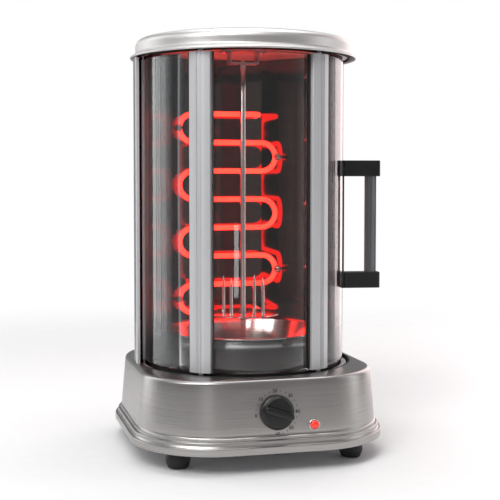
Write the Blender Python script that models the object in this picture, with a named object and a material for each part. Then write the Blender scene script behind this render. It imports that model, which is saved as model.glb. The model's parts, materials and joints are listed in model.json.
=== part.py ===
"""Vertical rotisserie oven: a glass door that turns round the spit into a pocket in the rear housing."""

import math

import bmesh
import bpy
from mathutils import Vector

# ---------------------------------------------------------------- driving dimensions, metres and degrees
# Heights are measured from the table. Azimuths run from the front (-Y) towards +X, about the spit.
gap = 0.0003                # between pieces that touch
sheet = 0.0015              # pressed sheet steel
facets = 48                 # sides of the large round pieces

# overall
glass_outer = 0.1212        # radius of the door's glass, which every round piece follows
base_top = 0.1020
door_height = 0.3583
foot_height = 0.0276
foot_radius = 0.0139

# base
base_margin = 0.0165        # base's sides beyond the housing
front_margin = 0.0090       # extra depth in front, for the control panel
rear_margin = 0.0010
corner_flat = 0.0520        # half the straight length of each side
foot_inset = 0.0470
front_foot_inset = 0.0530
rear_foot_inset = 0.0620
flange_lap = 0.0056         # flange's lower edge below the feet's tops
flange_band = 0.0085        # plain lower band of the stepped flange
flange_step = 0.0060        # bead above it
flange_bead = 0.0035
flange_flare = 0.0055       # flare from the bead into the wall
wall_low_inset = 0.0078
wall_top_inset = 0.0125
shoulder_radius = 0.0050
plate_sheet = 0.0018
track_depth = 0.0140
track_lip = 0.0015
floor_ledge = 0.0100
slot_clearance = 0.0010     # between the door's posts and the opening in the base
liner_clearance = 0.0025    # between the reflector and the track's inner wall

# door
glass_thickness = 0.0030
glass_clearance = 0.0003
groove_depth = 0.0040
left_post_azimuth = -37.0
right_post_azimuth = 30.0
post_width = 0.0260
post_proud = 0.0078         # posts in front of the glass
post_inward = 0.0026        # posts behind the glass
post_groove_half = 0.0026
door_lift = 0.0025          # door's lower edge above the base's top
door_left_azimuth = -95.0
door_right_azimuth = 109.0
rail_offset = 0.0018
rail_width = 0.0058
rail_height = 0.0065
rail_drop = 0.0030          # lower rail above the channel's floor
rail_rise = 0.0012          # upper rail below the channel's web
rail_stud = 0.0026          # radius under the posts
trim_stud = 0.0011          # radius under the end trims
trim_span = 2.6             # degrees covered by each end trim
gasket_thickness = 0.0016
gasket_span = 0.8           # degrees

# housing and lid
shell_clearance = 0.0020    # housing outside the door's posts
shell_left_azimuth = 273.5
shell_right_azimuth = 106.0
shell_rise = 0.0022         # housing's top above the lid's lip
edge_trim_span = 2.6
lid_inset = 0.0010          # lid's wall inside the housing's inner face
lid_overhang = 0.0041
lid_lift = 0.0020           # lid's lip above the door
lid_wall_height = 0.0142
lid_crown = 0.0135
lid_sheet = 0.0012
ceiling_drop = 0.0030
track_wall = 0.0012
top_track_height = 0.0108

# reflector and element
liner_gap = 0.0016          # between the reflector's folds and the door's posts
liner_back_half = 27.0      # degrees from the back to the first fold
liner_side_span = 40.0
liner_sheet = 0.0012
tube_radius = 0.00325
tube_sides = 8
element_setback = 0.0224    # element's middle in front of the reflector's back
bend_clearance = 0.0064     # element's bends from the reflector's sides
element_rise = 0.0490       # lowest limb above the floor
element_headroom = 0.0717
element_limbs = 8
terminal_inset = 0.0240
terminal_corner = 0.0080
terminal_length = 0.0040
terminal_bore = 0.0010      # round the tube
sleeve_wall = 0.0025
sleeve_length = 0.0034
clip_radius = 0.0022
clip_washer = 0.0048
clip_washer_thickness = 0.0012
clip_tip = 0.0020

# spit, tray and drive
tray_clearance = 0.0004
tray_depth = 0.0385
tray_base_inset = 0.0150
tray_hole_clearance = 0.0020
tray_sheet = 0.0012
coupling_radius = 0.0075
coupling_rise = 0.0210
coupling_clearance = 0.0012
socket_depth = 0.0120
spit_radius = 0.0035
spit_square_half = 0.0030
spit_headroom = 0.0100
spit_tip = 0.0040
spit_disc_radius = 0.0450
spit_disc_rise = 0.0555
spit_disc_sheet = 0.0020
spit_hub_radius = 0.0080
spit_hub_depth = 0.0060
prong_height = 0.0450
prong_radius = 0.0022
prong_circle = 0.62         # of the disc's radius
bearing_half_width = 0.0180
bearing_half_depth = 0.0090
bearing_ear = 0.0100
motor_radius = 0.0250
motor_height = 0.0240
bracket_half_depth = 0.0200
bracket_half_span = 0.0400
bracket_foot = 0.0160

# control panel and cord inlet
panel_drop = 0.0040         # knob below the middle of the wall
knob_radius = 0.0190
knob_base = 0.0015
knob_depth = 0.0150
knob_ridge_turn = -19.0
knob_ridge_half = 0.0042
shaft_radius = 0.0030
timer_half_width = 0.0200
timer_low = 0.0140
timer_high = 0.0125
timer_depth = 0.0260
lamp_x = 0.0430
lamp_drop = 0.0155
lamp_radius = 0.0045
inlet_x = 0.0550
inlet_drop = 0.0095
inlet_radius = 0.0060
inlet_wall = 0.0022
block_width = 0.0350
block_depth = 0.0180
block_height = 0.0160

# handle
handle_azimuth = 81.5
handle_width = 0.0170
handle_projection = 0.0478  # beyond the glass
handle_rise = 0.0829        # above the door's lower edge
handle_length = 0.1567
handle_block = 0.0195
handle_plate = 0.0022
block_bevel = 0.0025
grip_gap = 0.0283           # between the glass and the grip
grip_inset = 0.0025
grip_seat = 0.0040          # block left beyond the grip's ends

# ---------------------------------------------------------------- sizes that follow from them
glass_inner = glass_outer - glass_thickness
post_outer = glass_outer + post_proud
post_inner = glass_inner - post_inward
rail_inner = glass_inner + rail_offset
rail_outer = rail_inner + rail_width
liner_radius = post_inner - liner_gap
slot_outer = post_outer + slot_clearance
slot_inner = liner_radius + liner_clearance
track_inner_wall = slot_inner - sheet
shell_inner = post_outer + shell_clearance
shell_outer = shell_inner + sheet
lid_wall_outer = shell_inner - lid_inset
lid_lip_outer = shell_outer + lid_overhang

base_half_width = shell_outer + base_margin
base_front = base_half_width + front_margin
base_rear = base_half_width + rear_margin
base_corner = base_half_width - corner_flat
foot_x = base_half_width - foot_inset
foot_front = base_front - front_foot_inset
foot_rear = base_rear - rear_foot_inset

flange_bottom = foot_height - flange_lap
flange_levels = (flange_bottom + flange_band, flange_bottom + flange_band + flange_step)
wall_low_z = flange_levels[1] + flange_flare
wall_top_z = base_top - shoulder_radius
panel_height = (wall_low_z + wall_top_z) / 2 - panel_drop
panel_tilt = math.atan2(wall_top_inset - wall_low_inset, wall_top_z - wall_low_z)
inlet_z = panel_height - inlet_drop
plate_bottom = foot_height + gap
plate_top = plate_bottom + plate_sheet
track_floor = base_top - track_depth
floor_top = base_top - sheet
floor_bottom = floor_top - sheet

door_bottom = base_top + door_lift
door_top = door_bottom + door_height
lid_lip_bottom = door_top + lid_lift
lid_wall_top = lid_lip_bottom + lid_wall_height
lid_top = lid_wall_top + lid_crown
ceiling_z = lid_wall_top - ceiling_drop
spit_top = ceiling_z - spit_headroom
liner_bottom = floor_top + gap
liner_top = ceiling_z - gap

liner_back = liner_radius * math.cos(math.radians(liner_back_half))
liner_side = liner_radius * math.cos(math.radians(liner_side_span / 2)) - liner_sheet
side_azimuth = liner_back_half + liner_side_span / 2
element_y = liner_back - liner_sheet - element_setback
element_half_width = tube_radius + ((liner_side - bend_clearance - element_y * math.cos(math.radians(side_azimuth)))
                                    / math.sin(math.radians(side_azimuth)))
element_low = floor_top + element_rise
element_top = ceiling_z - element_headroom
element_pitch = (element_top - element_low) / (element_limbs - 1)
terminal_x = element_half_width - terminal_inset

coupling_top = floor_top + coupling_rise
socket_half = spit_square_half + gap
tray_hole = coupling_radius + tray_hole_clearance
tray_radius = liner_back - liner_sheet - tray_clearance
tray_base_radius = tray_radius - tray_base_inset
spit_disc_z = floor_top + spit_disc_rise
handle_reach = glass_outer + handle_projection
handle_low = door_bottom + handle_rise
handle_high = handle_low + handle_length
grip_inner = glass_outer + grip_gap
grip_outer = handle_reach - grip_inset


def wall_inset(z):
    share = (z - wall_low_z) / (wall_top_z - wall_low_z)
    return wall_low_inset + (wall_top_inset - wall_low_inset) * share


def panel_point(z):
    """Y of the front wall's outer face at a height."""
    return -(base_front - wall_inset(z))


# the spit's place, which puts the origin under the middle of the whole oven
reach_right = handle_reach * math.sin(math.radians(handle_azimuth))
reach_front = knob_depth * math.cos(panel_tilt) - panel_point(panel_height)
origin_x = (base_half_width - reach_right) / 2
origin_y = (reach_front - base_rear) / 2


# ---------------------------------------------------------------- scene and materials
def clear_scene():
    for thing in list(bpy.data.objects):
        bpy.data.objects.remove(thing, do_unlink=True)


def make_material(name, colour, roughness, metallic, alpha=1.0):
    material = bpy.data.materials.new(name)
    material.use_nodes = True
    shader = material.node_tree.nodes["Principled BSDF"]
    shader.inputs["Base Color"].default_value = (*colour, 1.0)
    shader.inputs["Roughness"].default_value = roughness
    shader.inputs["Metallic"].default_value = metallic
    shader.inputs["Alpha"].default_value = alpha
    material.diffuse_color = (*colour, alpha)
    return material


def make_materials():
    return {
        "brushed_steel": make_material("brushed_steel", (0.56, 0.55, 0.53), 0.34, 1.0),
        "polished_steel": make_material("polished_steel", (0.66, 0.64, 0.62), 0.14, 1.0),
        "dark_steel": make_material("dark_steel", (0.05, 0.048, 0.046), 0.45, 0.8),
        "zinc_steel": make_material("zinc_steel", (0.52, 0.53, 0.55), 0.38, 1.0),
        "screw_steel": make_material("screw_steel", (0.62, 0.61, 0.60), 0.25, 1.0),
        "aluminium": make_material("aluminium", (0.70, 0.71, 0.73), 0.38, 1.0),
        "grip_aluminium": make_material("grip_aluminium", (0.24, 0.24, 0.25), 0.36, 1.0),
        "door_glass": make_material("door_glass", (0.86, 0.88, 0.88), 0.03, 0.0, 0.25),
        "black_plastic": make_material("black_plastic", (0.020, 0.020, 0.021), 0.42, 0.0),
        "track_black": make_material("track_black", (0.015, 0.015, 0.015), 0.60, 0.0),
        "gasket_rubber": make_material("gasket_rubber", (0.018, 0.018, 0.018), 0.75, 0.0),
        "foot_rubber": make_material("foot_rubber", (0.025, 0.024, 0.024), 0.70, 0.0),
        "hot_element": make_material("hot_element", (1.0, 0.12, 0.045), 0.50, 0.0),
        "ceramic": make_material("ceramic", (0.82, 0.79, 0.72), 0.55, 0.0),
        "lamp_red": make_material("lamp_red", (0.80, 0.03, 0.02), 0.15, 0.0),
        "unit_plastic": make_material("unit_plastic", (0.70, 0.69, 0.64), 0.50, 0.0),
    }


# ---------------------------------------------------------------- mesh building
def polar(radius, azimuth, z=0.0):
    angle = math.radians(azimuth)
    return Vector((radius * math.sin(angle), -radius * math.cos(angle), z))


def local_to_door(tangent, radius, azimuth, z):
    """A point given along and out from the wall at an azimuth."""
    angle = math.radians(azimuth)
    return Vector((radius * math.sin(angle) + tangent * math.cos(angle),
                   -radius * math.cos(angle) + tangent * math.sin(angle), z))


def circle_ring(radius, z, steps=facets, centre=(0.0, 0.0)):
    turn = 2 * math.pi / steps
    return [Vector((centre[0] + radius * math.cos(turn * i), centre[1] + radius * math.sin(turn * i), z))
            for i in range(steps)]


def outline_distance(x, y):
    """Distance of a point outside the base's rounded outline, negative inside it."""
    middle_y = (base_rear - base_front) / 2
    over_x = abs(x) - (base_half_width - base_corner)
    over_y = abs(y - middle_y) - ((base_front + base_rear) / 2 - base_corner)
    outside = math.hypot(max(over_x, 0.0), max(over_y, 0.0))
    return outside + min(max(over_x, over_y), 0.0) - base_corner


def outline_ring(inset, z, steps=facets):
    """The base's outline, moved in by inset, at a height."""
    ring = []
    for i in range(steps):
        angle = 2 * math.pi * i / steps
        near, far = 0.0, 0.25
        for _ in range(40):
            middle = (near + far) / 2
            if outline_distance(middle * math.cos(angle), middle * math.sin(angle)) < -inset:
                near = middle
            else:
                far = middle
        ring.append(Vector((near * math.cos(angle), near * math.sin(angle), z)))
    return ring


def add_rings(mesh, rings, closed):
    """Skins a row of rings: closed joins the last to the first, otherwise the ends are capped."""
    loops = [[mesh.verts.new(point) for point in ring] for ring in rings]
    pairs = list(zip(loops, loops[1:]))
    if closed:
        pairs.append((loops[-1], loops[0]))
    else:
        mesh.faces.new(loops[0])
        mesh.faces.new(loops[-1])
    for low, high in pairs:
        for i in range(len(low)):
            following = (i + 1) % len(low)
            mesh.faces.new((low[i], low[following], high[following], high[i]))


def finish(name, mesh, material, parent, smooth=True):
    bmesh.ops.recalc_face_normals(mesh, faces=mesh.faces)
    data = bpy.data.meshes.new(name)
    mesh.to_mesh(data)
    mesh.free()
    data.materials.append(materials[material])
    if smooth:
        data.shade_smooth()
        data.set_sharp_from_angle(angle=math.radians(35))
    thing = bpy.data.objects.new(name, data)
    bpy.context.scene.collection.objects.link(thing)
    thing.parent = parent
    return thing


def skin(name, rings, material, parent, closed=False, smooth=True):
    mesh = bmesh.new()
    add_rings(mesh, rings, closed)
    return finish(name, mesh, material, parent, smooth)


def turned(name, profile, material, parent, steps=24, closed=False):
    """Revolves (radius, height) points about the local Z axis."""
    rings = [circle_ring(radius, z, steps) for radius, z in profile]
    return skin(name, rings, material, parent, closed)


def sector_rings(section, start, end, steps):
    """A closed section of (radius, height) points swept round part of a circle."""
    return [[polar(radius, start + (end - start) * i / steps, z) for radius, z in section]
            for i in range(steps + 1)]


def sector(name, inner, outer, low, high, start, end, steps, material, parent):
    section = [(inner, low), (outer, low), (outer, high), (inner, high)]
    return skin(name, sector_rings(section, start, end, steps), material, parent)


def box_rings(low, high):
    (x0, y0, z0), (x1, y1, z1) = low, high
    corners = ((x0, y0), (x1, y0), (x1, y1), (x0, y1))
    return [[Vector((x, y, z)) for x, y in corners] for z in (z0, z1)]


def cylinder_rings(base, direction, profile, steps=10):
    """Rings of (radius, height) points along any direction from a base point."""
    axis = Vector(direction).normalized()
    turn = Vector((0, 0, 1)).rotation_difference(axis)
    return [[Vector(base) + turn @ point for point in circle_ring(radius, height, steps)]
            for radius, height in profile]


def screw_rings(base, direction, head=0.0028, rise=0.0016, steps=10):
    """A domed screw head standing on a face."""
    profile = ((head, gap), (head, rise * 0.55), (head * 0.62, rise))
    return cylinder_rings(base, direction, profile, steps)


def cut(target, name, rings):
    """Takes a closed shape out of a piece."""
    mesh = bmesh.new()
    add_rings(mesh, rings, False)
    cutter = finish(name, mesh, "dark_steel", target.parent, smooth=False)
    cutter.hide_render = True
    cutter.display_type = "WIRE"
    modifier = target.modifiers.new(name, "BOOLEAN")
    modifier.operation = "DIFFERENCE"
    modifier.object = cutter


def join_onto(target, name, rings):
    """Adds a closed shape to a piece as one solid."""
    mesh = bmesh.new()
    add_rings(mesh, rings, False)
    addition = finish(name, mesh, "dark_steel", target.parent, smooth=False)
    addition.hide_render = True
    addition.display_type = "WIRE"
    modifier = target.modifiers.new(name, "BOOLEAN")
    modifier.operation = "UNION"
    modifier.object = addition


def empty(name, parent=None, location=(0, 0, 0), rotation=(0, 0, 0)):
    thing = bpy.data.objects.new(name, None)
    bpy.context.scene.collection.objects.link(thing)
    thing.parent = parent
    thing.location = location
    thing.rotation_euler = rotation
    return thing


# ---------------------------------------------------------------- base
def build_base_cover():
    bead = flange_bead
    rings = [outline_ring(0.0, flange_bottom),
             outline_ring(0.0, flange_levels[0] - 0.001),
             outline_ring(0.001, flange_levels[0]),
             outline_ring(bead - 0.0005, flange_levels[0] + 0.0005),
             outline_ring(bead, flange_levels[1] - 0.002),
             outline_ring(bead + 0.002, flange_levels[1]),
             outline_ring(wall_low_inset, wall_low_z)]
    for step in range(4):
        angle = math.radians(30 * step)
        rings.append(outline_ring(wall_top_inset + shoulder_radius * (1 - math.cos(angle)),
                                  wall_top_z + shoulder_radius * math.sin(angle)))
    rings.append(circle_ring(slot_outer, base_top))
    rings.append(circle_ring(slot_outer, base_top - sheet))
    rings.append(outline_ring(wall_top_inset + shoulder_radius, base_top - sheet))
    rings.append(outline_ring(wall_top_inset + sheet, wall_top_z))
    rings.append(outline_ring(wall_low_inset + sheet, wall_low_z))
    rings.append(outline_ring(sheet, flange_levels[0] - 0.001))
    rings.append(outline_ring(sheet, flange_bottom))
    cover = skin("base_cover", rings, "brushed_steel", root, closed=True)

    out = Vector((0, -math.cos(panel_tilt), math.sin(panel_tilt)))
    knob_at = Vector((0, panel_point(panel_height), panel_height))
    bore = ((shaft_radius + 0.001, -0.01), (shaft_radius + 0.001, 0.01))
    cut(cover, "cut_shaft_hole", cylinder_rings(knob_at, out, bore, 16))
    lamp_z = panel_height - lamp_drop
    lamp_at = Vector((lamp_x, panel_point(lamp_z), lamp_z))
    bore = ((lamp_radius + 2 * gap, -0.01), (lamp_radius + 2 * gap, 0.01))
    cut(cover, "cut_lamp_hole", cylinder_rings(lamp_at, out, bore, 16))
    inlet_at = Vector((inlet_x, base_rear, inlet_z))
    bore = ((inlet_radius + gap, -0.03), (inlet_radius + gap, 0.01))
    cut(cover, "cut_inlet_hole", cylinder_rings(inlet_at, (0, 1, 0), bore, 16))


def build_base_plate():
    inset = sheet + gap
    skin("base_plate", [outline_ring(inset, plate_bottom), outline_ring(inset, plate_top)],
         "zinc_steel", root)


def build_feet():
    profile = ((foot_radius * 0.62, 0.0), (foot_radius * 0.86, 0.0022), (foot_radius, 0.0085),
               (foot_radius * 0.97, 0.0160), (foot_radius * 0.80, foot_height - 0.0030),
               (foot_radius * 0.80, foot_height))
    corners = (("front_left", -foot_x, -foot_front), ("front_right", foot_x, -foot_front),
               ("rear_left", -foot_x, foot_rear), ("rear_right", foot_x, foot_rear))
    for place, x, y in corners:
        foot = turned("foot_" + place, profile, "foot_rubber", root, steps=20)
        foot.location = (x, y, 0)


def build_door_track():
    """Round channel that the door's lower rail runs in; the floor plate lies on its inner ledge."""
    outer = slot_outer - gap
    wall = outer - sheet
    ledge_top = floor_bottom - gap
    profile = ((outer + track_lip, floor_bottom), (outer + track_lip, floor_top - gap),
               (outer, floor_top - gap), (outer, base_top), (wall, base_top),
               (wall, track_floor + sheet), (slot_inner, track_floor + sheet), (slot_inner, base_top),
               (track_inner_wall, base_top), (track_inner_wall, ledge_top),
               (track_inner_wall - floor_ledge, ledge_top),
               (track_inner_wall - floor_ledge, ledge_top - sheet),
               (track_inner_wall, ledge_top - sheet), (track_inner_wall, track_floor),
               (outer, track_floor), (outer, floor_bottom))
    turned("door_track", profile, "track_black", root, steps=facets, closed=True)


def build_floor_plate():
    edge = track_inner_wall - gap
    hole = coupling_radius + coupling_clearance + gap
    profile = ((edge, floor_bottom), (edge, floor_top), (hole, floor_top), (hole, floor_bottom))
    turned("floor_plate", profile, "dark_steel", root, steps=48, closed=True)
    for place, azimuth in (("right", 65), ("rear", 180), ("left", 295)):
        head = screw_rings(polar(edge - 0.005, azimuth, floor_top), (0, 0, 1))
        skin(f"floor_screw_{place}", head, "screw_steel", root)


def build_motor():
    web_top = track_floor - sheet
    web_low = web_top - sheet
    half, span = bracket_half_depth, bracket_half_span
    foot = span + bracket_foot
    rim_low = floor_bottom - gap - sheet
    rim_top = floor_bottom - gap
    outline = ((-foot, rim_low), (-span, rim_low), (-span, web_low), (span, web_low), (span, rim_low),
               (foot, rim_low), (foot, rim_top), (span - sheet, rim_top), (span - sheet, web_top),
               (sheet - span, web_top), (sheet - span, rim_top), (-foot, rim_top))
    rings = [[Vector((x, y, z)) for x, z in outline] for y in (-half, half)]
    bracket = skin("motor_bracket", rings, "zinc_steel", root)
    bore = coupling_radius + coupling_clearance
    cut(bracket, "cut_motor_bracket", [circle_ring(bore, z, 24) for z in (web_low - 0.01, web_top + 0.004)])

    top = web_low - gap
    low = top - motor_height
    profile = ((motor_radius - 0.002, low), (motor_radius, low + 0.002), (motor_radius, top - 0.006),
               (motor_radius + 0.003, top - 0.006), (motor_radius + 0.003, top))
    turned("gear_motor", profile, "zinc_steel", root, steps=32)
    return top


def build_terminal_block():
    low = plate_top + gap
    right = inlet_x - 0.010
    front = base_rear / 2
    block = box_rings((right - block_width, front, low), (right, front + block_depth, low + block_height))
    skin("terminal_block", block, "unit_plastic", root, smooth=False)


def build_inlet():
    """Bush in the rear wall that a supply cord would come through."""
    wall_y = base_rear - wall_inset(inlet_z)
    bore = inlet_radius - inlet_wall
    profile = ((inlet_radius, -0.012), (inlet_radius, gap), (inlet_radius + 0.003, 2 * gap),
               (inlet_radius + 0.003, 0.0035), (inlet_radius + 0.001, 0.0070), (bore, 0.0070), (bore, -0.012))
    inlet = turned("cord_inlet", profile, "black_plastic", root, steps=20, closed=True)
    inlet.location = (inlet_x, wall_y + 0.0008, inlet_z)
    inlet.rotation_euler = (math.radians(-90), 0, 0)


# ---------------------------------------------------------------- control panel
def build_timer():
    back = -sheet - 0.001
    timer = skin("timer_unit", box_rings((-timer_half_width, -timer_low, back - timer_depth),
                                         (timer_half_width, timer_high, back)),
                 "unit_plastic", panel, smooth=False)
    bore = shaft_radius + 0.0006
    cut(timer, "cut_timer_bore", [circle_ring(bore, z, 16) for z in (back - 0.020, back + 0.01)])
    turned("timer_shaft", ((shaft_radius, back - 0.018), (shaft_radius, 0.0012)), "zinc_steel", knob_axis, 14)

    base = knob_base
    top = knob_depth
    profile = ((knob_radius, base), (knob_radius, base + 0.0030), (knob_radius - 0.0012, base + 0.0045),
               (knob_radius - 0.0035, base + 0.0055), (knob_radius - 0.0042, base + 0.0060))
    knob = turned("timer_knob", profile, "black_plastic", knob_axis, steps=40)
    half = knob_ridge_half
    length = knob_radius - 0.0010
    turn = math.radians(knob_ridge_turn)
    outline = []
    for end in (1, -1):
        for step in range(5):
            angle = math.radians(-60 + 30 * step)
            along = end * (length - half * 0.6 + half * 0.6 * math.cos(angle))
            across = end * half * math.sin(angle) / math.sin(math.radians(60))
            outline.append((along, across))
    rings = []
    for z, shrink in ((base + 0.003, 1.0), (top - 0.0008, 0.94), (top, 0.84)):
        rings.append([Vector((x * shrink * math.cos(turn) - y * shrink * math.sin(turn),
                              x * shrink * math.sin(turn) + y * shrink * math.cos(turn), z))
                      for x, y in outline])
    join_onto(knob, "join_knob_ridge", rings)


def build_power_lamp():
    lens = turned("power_lamp_lens", ((lamp_radius, -0.014), (lamp_radius, 0.0020),
                                      (lamp_radius * 0.85, 0.0034), (lamp_radius * 0.45, 0.0042)),
                  "lamp_red", panel, steps=20)
    rim = turned("power_lamp_rim", ((lamp_radius + gap, gap), (lamp_radius + 0.0018, gap),
                                    (lamp_radius + 0.0016, 0.0016), (lamp_radius + 0.0009, 0.0022),
                                    (lamp_radius + gap, 0.0018)),
                 "polished_steel", panel, steps=20, closed=True)
    drop = -lamp_drop / math.cos(panel_tilt)
    lens.location = (lamp_x, drop, 0)
    rim.location = (lamp_x, drop, 0)


# ---------------------------------------------------------------- drive, spit and tray
def build_drive(motor_top):
    low = motor_top + gap
    profile = ((coupling_radius - 0.002, low), (coupling_radius - 0.002, floor_bottom - 0.004),
               (coupling_radius, floor_bottom - 0.0025), (coupling_radius, coupling_top - 0.001),
               (coupling_radius - 0.001, coupling_top))
    coupling = turned("drive_coupling", profile, "zinc_steel", drive_axis, steps=24)
    cut(coupling, "cut_drive_socket",
        box_rings((-socket_half, -socket_half, coupling_top - socket_depth),
                  (socket_half, socket_half, coupling_top + 0.01)))


def build_spit():
    foot = coupling_top - socket_depth + gap
    square = box_rings((-spit_square_half, -spit_square_half, foot),
                       (spit_square_half, spit_square_half, coupling_top + 0.006))
    rod = turned("spit_rod", ((spit_radius, coupling_top + 0.003), (spit_radius, spit_top - spit_tip),
                              (spit_radius * 0.4, spit_top)), "polished_steel", drive_axis, steps=16)
    join_onto(rod, "join_spit_square", square)

    bore = spit_radius + gap
    hub_low = spit_disc_z - spit_hub_depth
    disc_top = spit_disc_z + spit_disc_sheet
    profile = ((bore, hub_low), (spit_hub_radius, hub_low), (spit_hub_radius, spit_disc_z),
               (spit_disc_radius, spit_disc_z), (spit_disc_radius, disc_top), (bore, disc_top))
    disc = turned("spit_disc", profile, "polished_steel", drive_axis, steps=32, closed=True)
    profile = ((prong_radius, 0.0), (prong_radius * 0.9, prong_height * 0.8), (prong_radius * 0.2, prong_height))
    for azimuth in (45, 135, 225, 315):
        spot = polar(spit_disc_radius * prong_circle, azimuth, spit_disc_z + spit_disc_sheet / 2)
        join_onto(disc, f"join_prong_{azimuth}", cylinder_rings(spot, (0, 0, 1), profile, 8))


def build_drip_tray():
    low = floor_top + gap
    rim = low + tray_depth
    t = tray_sheet
    boss = coupling_top + 0.0012
    profile = ((tray_base_radius, low), (tray_radius - 0.004, rim - 0.002), (tray_radius - 0.0005, rim - 0.0012),
               (tray_radius, rim), (tray_radius - 0.0012, rim + 0.0008), (tray_radius - 0.0055, rim - 0.001),
               (tray_base_radius - 0.004, low + 0.0045), (tray_base_radius - 0.010, low + t),
               (0.030, low + t), (0.016, low + 0.008), (tray_hole + t, boss), (tray_hole, boss - t / 2),
               (tray_hole, boss - 2 * t), (0.0145, low + 0.0065), (0.028, low))
    turned("drip_tray", profile, "polished_steel", root, steps=48, closed=True)


# ---------------------------------------------------------------- rear housing and lid
def build_housing():
    low = base_top + gap
    high = lid_lip_bottom + shell_rise
    sector("housing_shell", shell_inner, shell_outer, low, high, shell_right_azimuth, shell_left_azimuth,
           42, "brushed_steel", root)
    step = math.degrees(gap / shell_inner)
    inner, outer = shell_inner - 0.0007, shell_outer + 0.0010
    for side, edge, way in (("left", shell_left_azimuth, 1), ("right", shell_right_azimuth, -1)):
        sector(f"edge_trim_{side}", inner, outer, low, high - 0.003, edge + way * step,
               edge + way * (step + edge_trim_span), 2, "aluminium", root)


def liner_path(radius):
    folds = (180 - liner_back_half - liner_side_span, 180 - liner_back_half,
             180 + liner_back_half, 180 + liner_back_half + liner_side_span)
    return [polar(radius, azimuth) for azimuth in folds]


def build_liner():
    """Folded reflector behind the spit, in three flat faces."""
    outer = liner_path(liner_radius)
    inner = liner_path(liner_radius - liner_sheet / math.cos(math.radians(liner_side_span / 2)))
    outline = outer + inner[::-1]
    rings = [[Vector((p.x, p.y, z)) for p in outline] for z in (liner_bottom, liner_top)]
    liner = skin("reflector_liner", rings, "polished_steel", root)
    bore = tube_radius + terminal_bore
    for place, z in (("low", element_low), ("high", element_top)):
        spot = (terminal_x, element_y, z)
        cut(liner, f"cut_terminal_{place}", cylinder_rings(spot, (0, 1, 0), ((bore, 0.005), (bore, 0.04)), 16))


def terminal_points(z):
    """One end of the tube, from behind the reflector round into its limb."""
    points = [Vector((terminal_x, liner_back + terminal_length, z))]
    for step in range(4):
        angle = math.radians(30 * step)
        points.append(Vector((terminal_x - terminal_corner * (1 - math.cos(angle)),
                              element_y + terminal_corner * (1 - math.sin(angle)), z)))
    return points


def build_element():
    """Sheathed heating tube: level limbs joined by round bends, with both ends through the reflector."""
    bend = element_pitch / 2
    straight = element_half_width - tube_radius - bend
    points = terminal_points(element_top)
    for limb in range(element_limbs - 1):
        z = element_top - element_pitch * limb
        side = -1 if limb % 2 == 0 else 1
        for step in range(7):
            angle = math.radians(90 - 30 * step)
            points.append(Vector((side * (straight + bend * math.cos(angle)), element_y,
                                  z - bend + bend * math.sin(angle))))
    points += terminal_points(element_low)[::-1]

    curve = bpy.data.curves.new("heating_element", "CURVE")
    curve.dimensions = "3D"
    curve.bevel_depth = tube_radius
    curve.bevel_resolution = tube_sides // 4
    curve.use_fill_caps = True
    spline = curve.splines.new("POLY")
    spline.points.add(len(points) - 1)
    for point, place in zip(spline.points, points):
        point.co = (*place, 1.0)
    curve.materials.append(materials["hot_element"])
    tube = bpy.data.objects.new("heating_element", curve)
    bpy.context.scene.collection.objects.link(tube)
    tube.parent = root

    bore = tube_radius + 2 * gap
    outer = bore + sleeve_wall
    profile = ((bore, 0.0), (outer, 0.0), (outer, sleeve_length), (bore, sleeve_length))
    for place, z in (("low", element_low), ("high", element_top)):
        rings = cylinder_rings((terminal_x, liner_back + gap, z), (0, 1, 0), profile, 14)
        skin(f"element_sleeve_{place}", rings, "ceramic", root, closed=True)


def build_element_clips():
    """Studs on the reflector's sides, each with a washer that holds a bend of the element."""
    aside = tube_radius + clip_radius + gap
    washer = bend_clearance + tube_radius + gap
    profile = ((clip_radius, gap), (clip_radius, washer), (clip_washer, washer),
               (clip_washer, washer + clip_washer_thickness), (clip_radius, washer + clip_washer_thickness),
               (clip_radius * 0.8, washer + clip_washer_thickness + clip_tip))
    bend_x = element_half_width - tube_radius
    for side, way, pairs in (("left", -1, (0.5, element_limbs - 1.5)), ("right", 1, (1.5, element_limbs - 2.5))):
        azimuth = math.radians(180 - way * side_azimuth)
        out = Vector((math.sin(azimuth), -math.cos(azimuth), 0))
        forward = Vector((way * out.y, -abs(out.x), 0))
        for place, pair in zip(("low", "high"), pairs):
            bend = Vector((way * bend_x, element_y, element_low + element_pitch * pair))
            foot = bend + out * bend_clearance + forward * aside
            skin(f"element_clip_{place}_{side}", cylinder_rings(foot, -out, profile, 12), "dark_steel", root)


def build_lid():
    t = lid_sheet
    r, lip = lid_wall_outer, lid_lip_outer
    z0, z1 = lid_lip_bottom, lid_wall_top
    edge = lid_top - 0.0035
    outer = ((lip - 0.0036, z0 + 0.0022), (lip - 0.0012, z0), (lip, z0 + 0.0010), (lip - 0.0004, z0 + 0.0024),
             (lip - 0.0030, z0 + 0.0036), (r + 0.0010, z0 + 0.0062), (r, z0 + 0.0092), (r, z1),
             (r - 0.0010, z1 + 0.0045), (r - 0.0038, edge - 0.0020), (r - 0.0085, edge),
             (r - 0.0300, edge + 0.0016), (r * 0.3, lid_top))
    inner = ((r + 0.0010 - t * 0.6, z0 + 0.0050), (r - t, z0 + 0.0088), (r - t, z1),
             (r - 0.0042 - t * 0.5, edge - 0.0020 - t), (r - 0.0090, edge - t),
             (r - 0.0300, edge + 0.0016 - t), (r * 0.3, lid_top - t))
    rings = [circle_ring(radius, z) for radius, z in inner[::-1] + outer]
    skin("lid_cover", rings, "brushed_steel", root)


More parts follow.
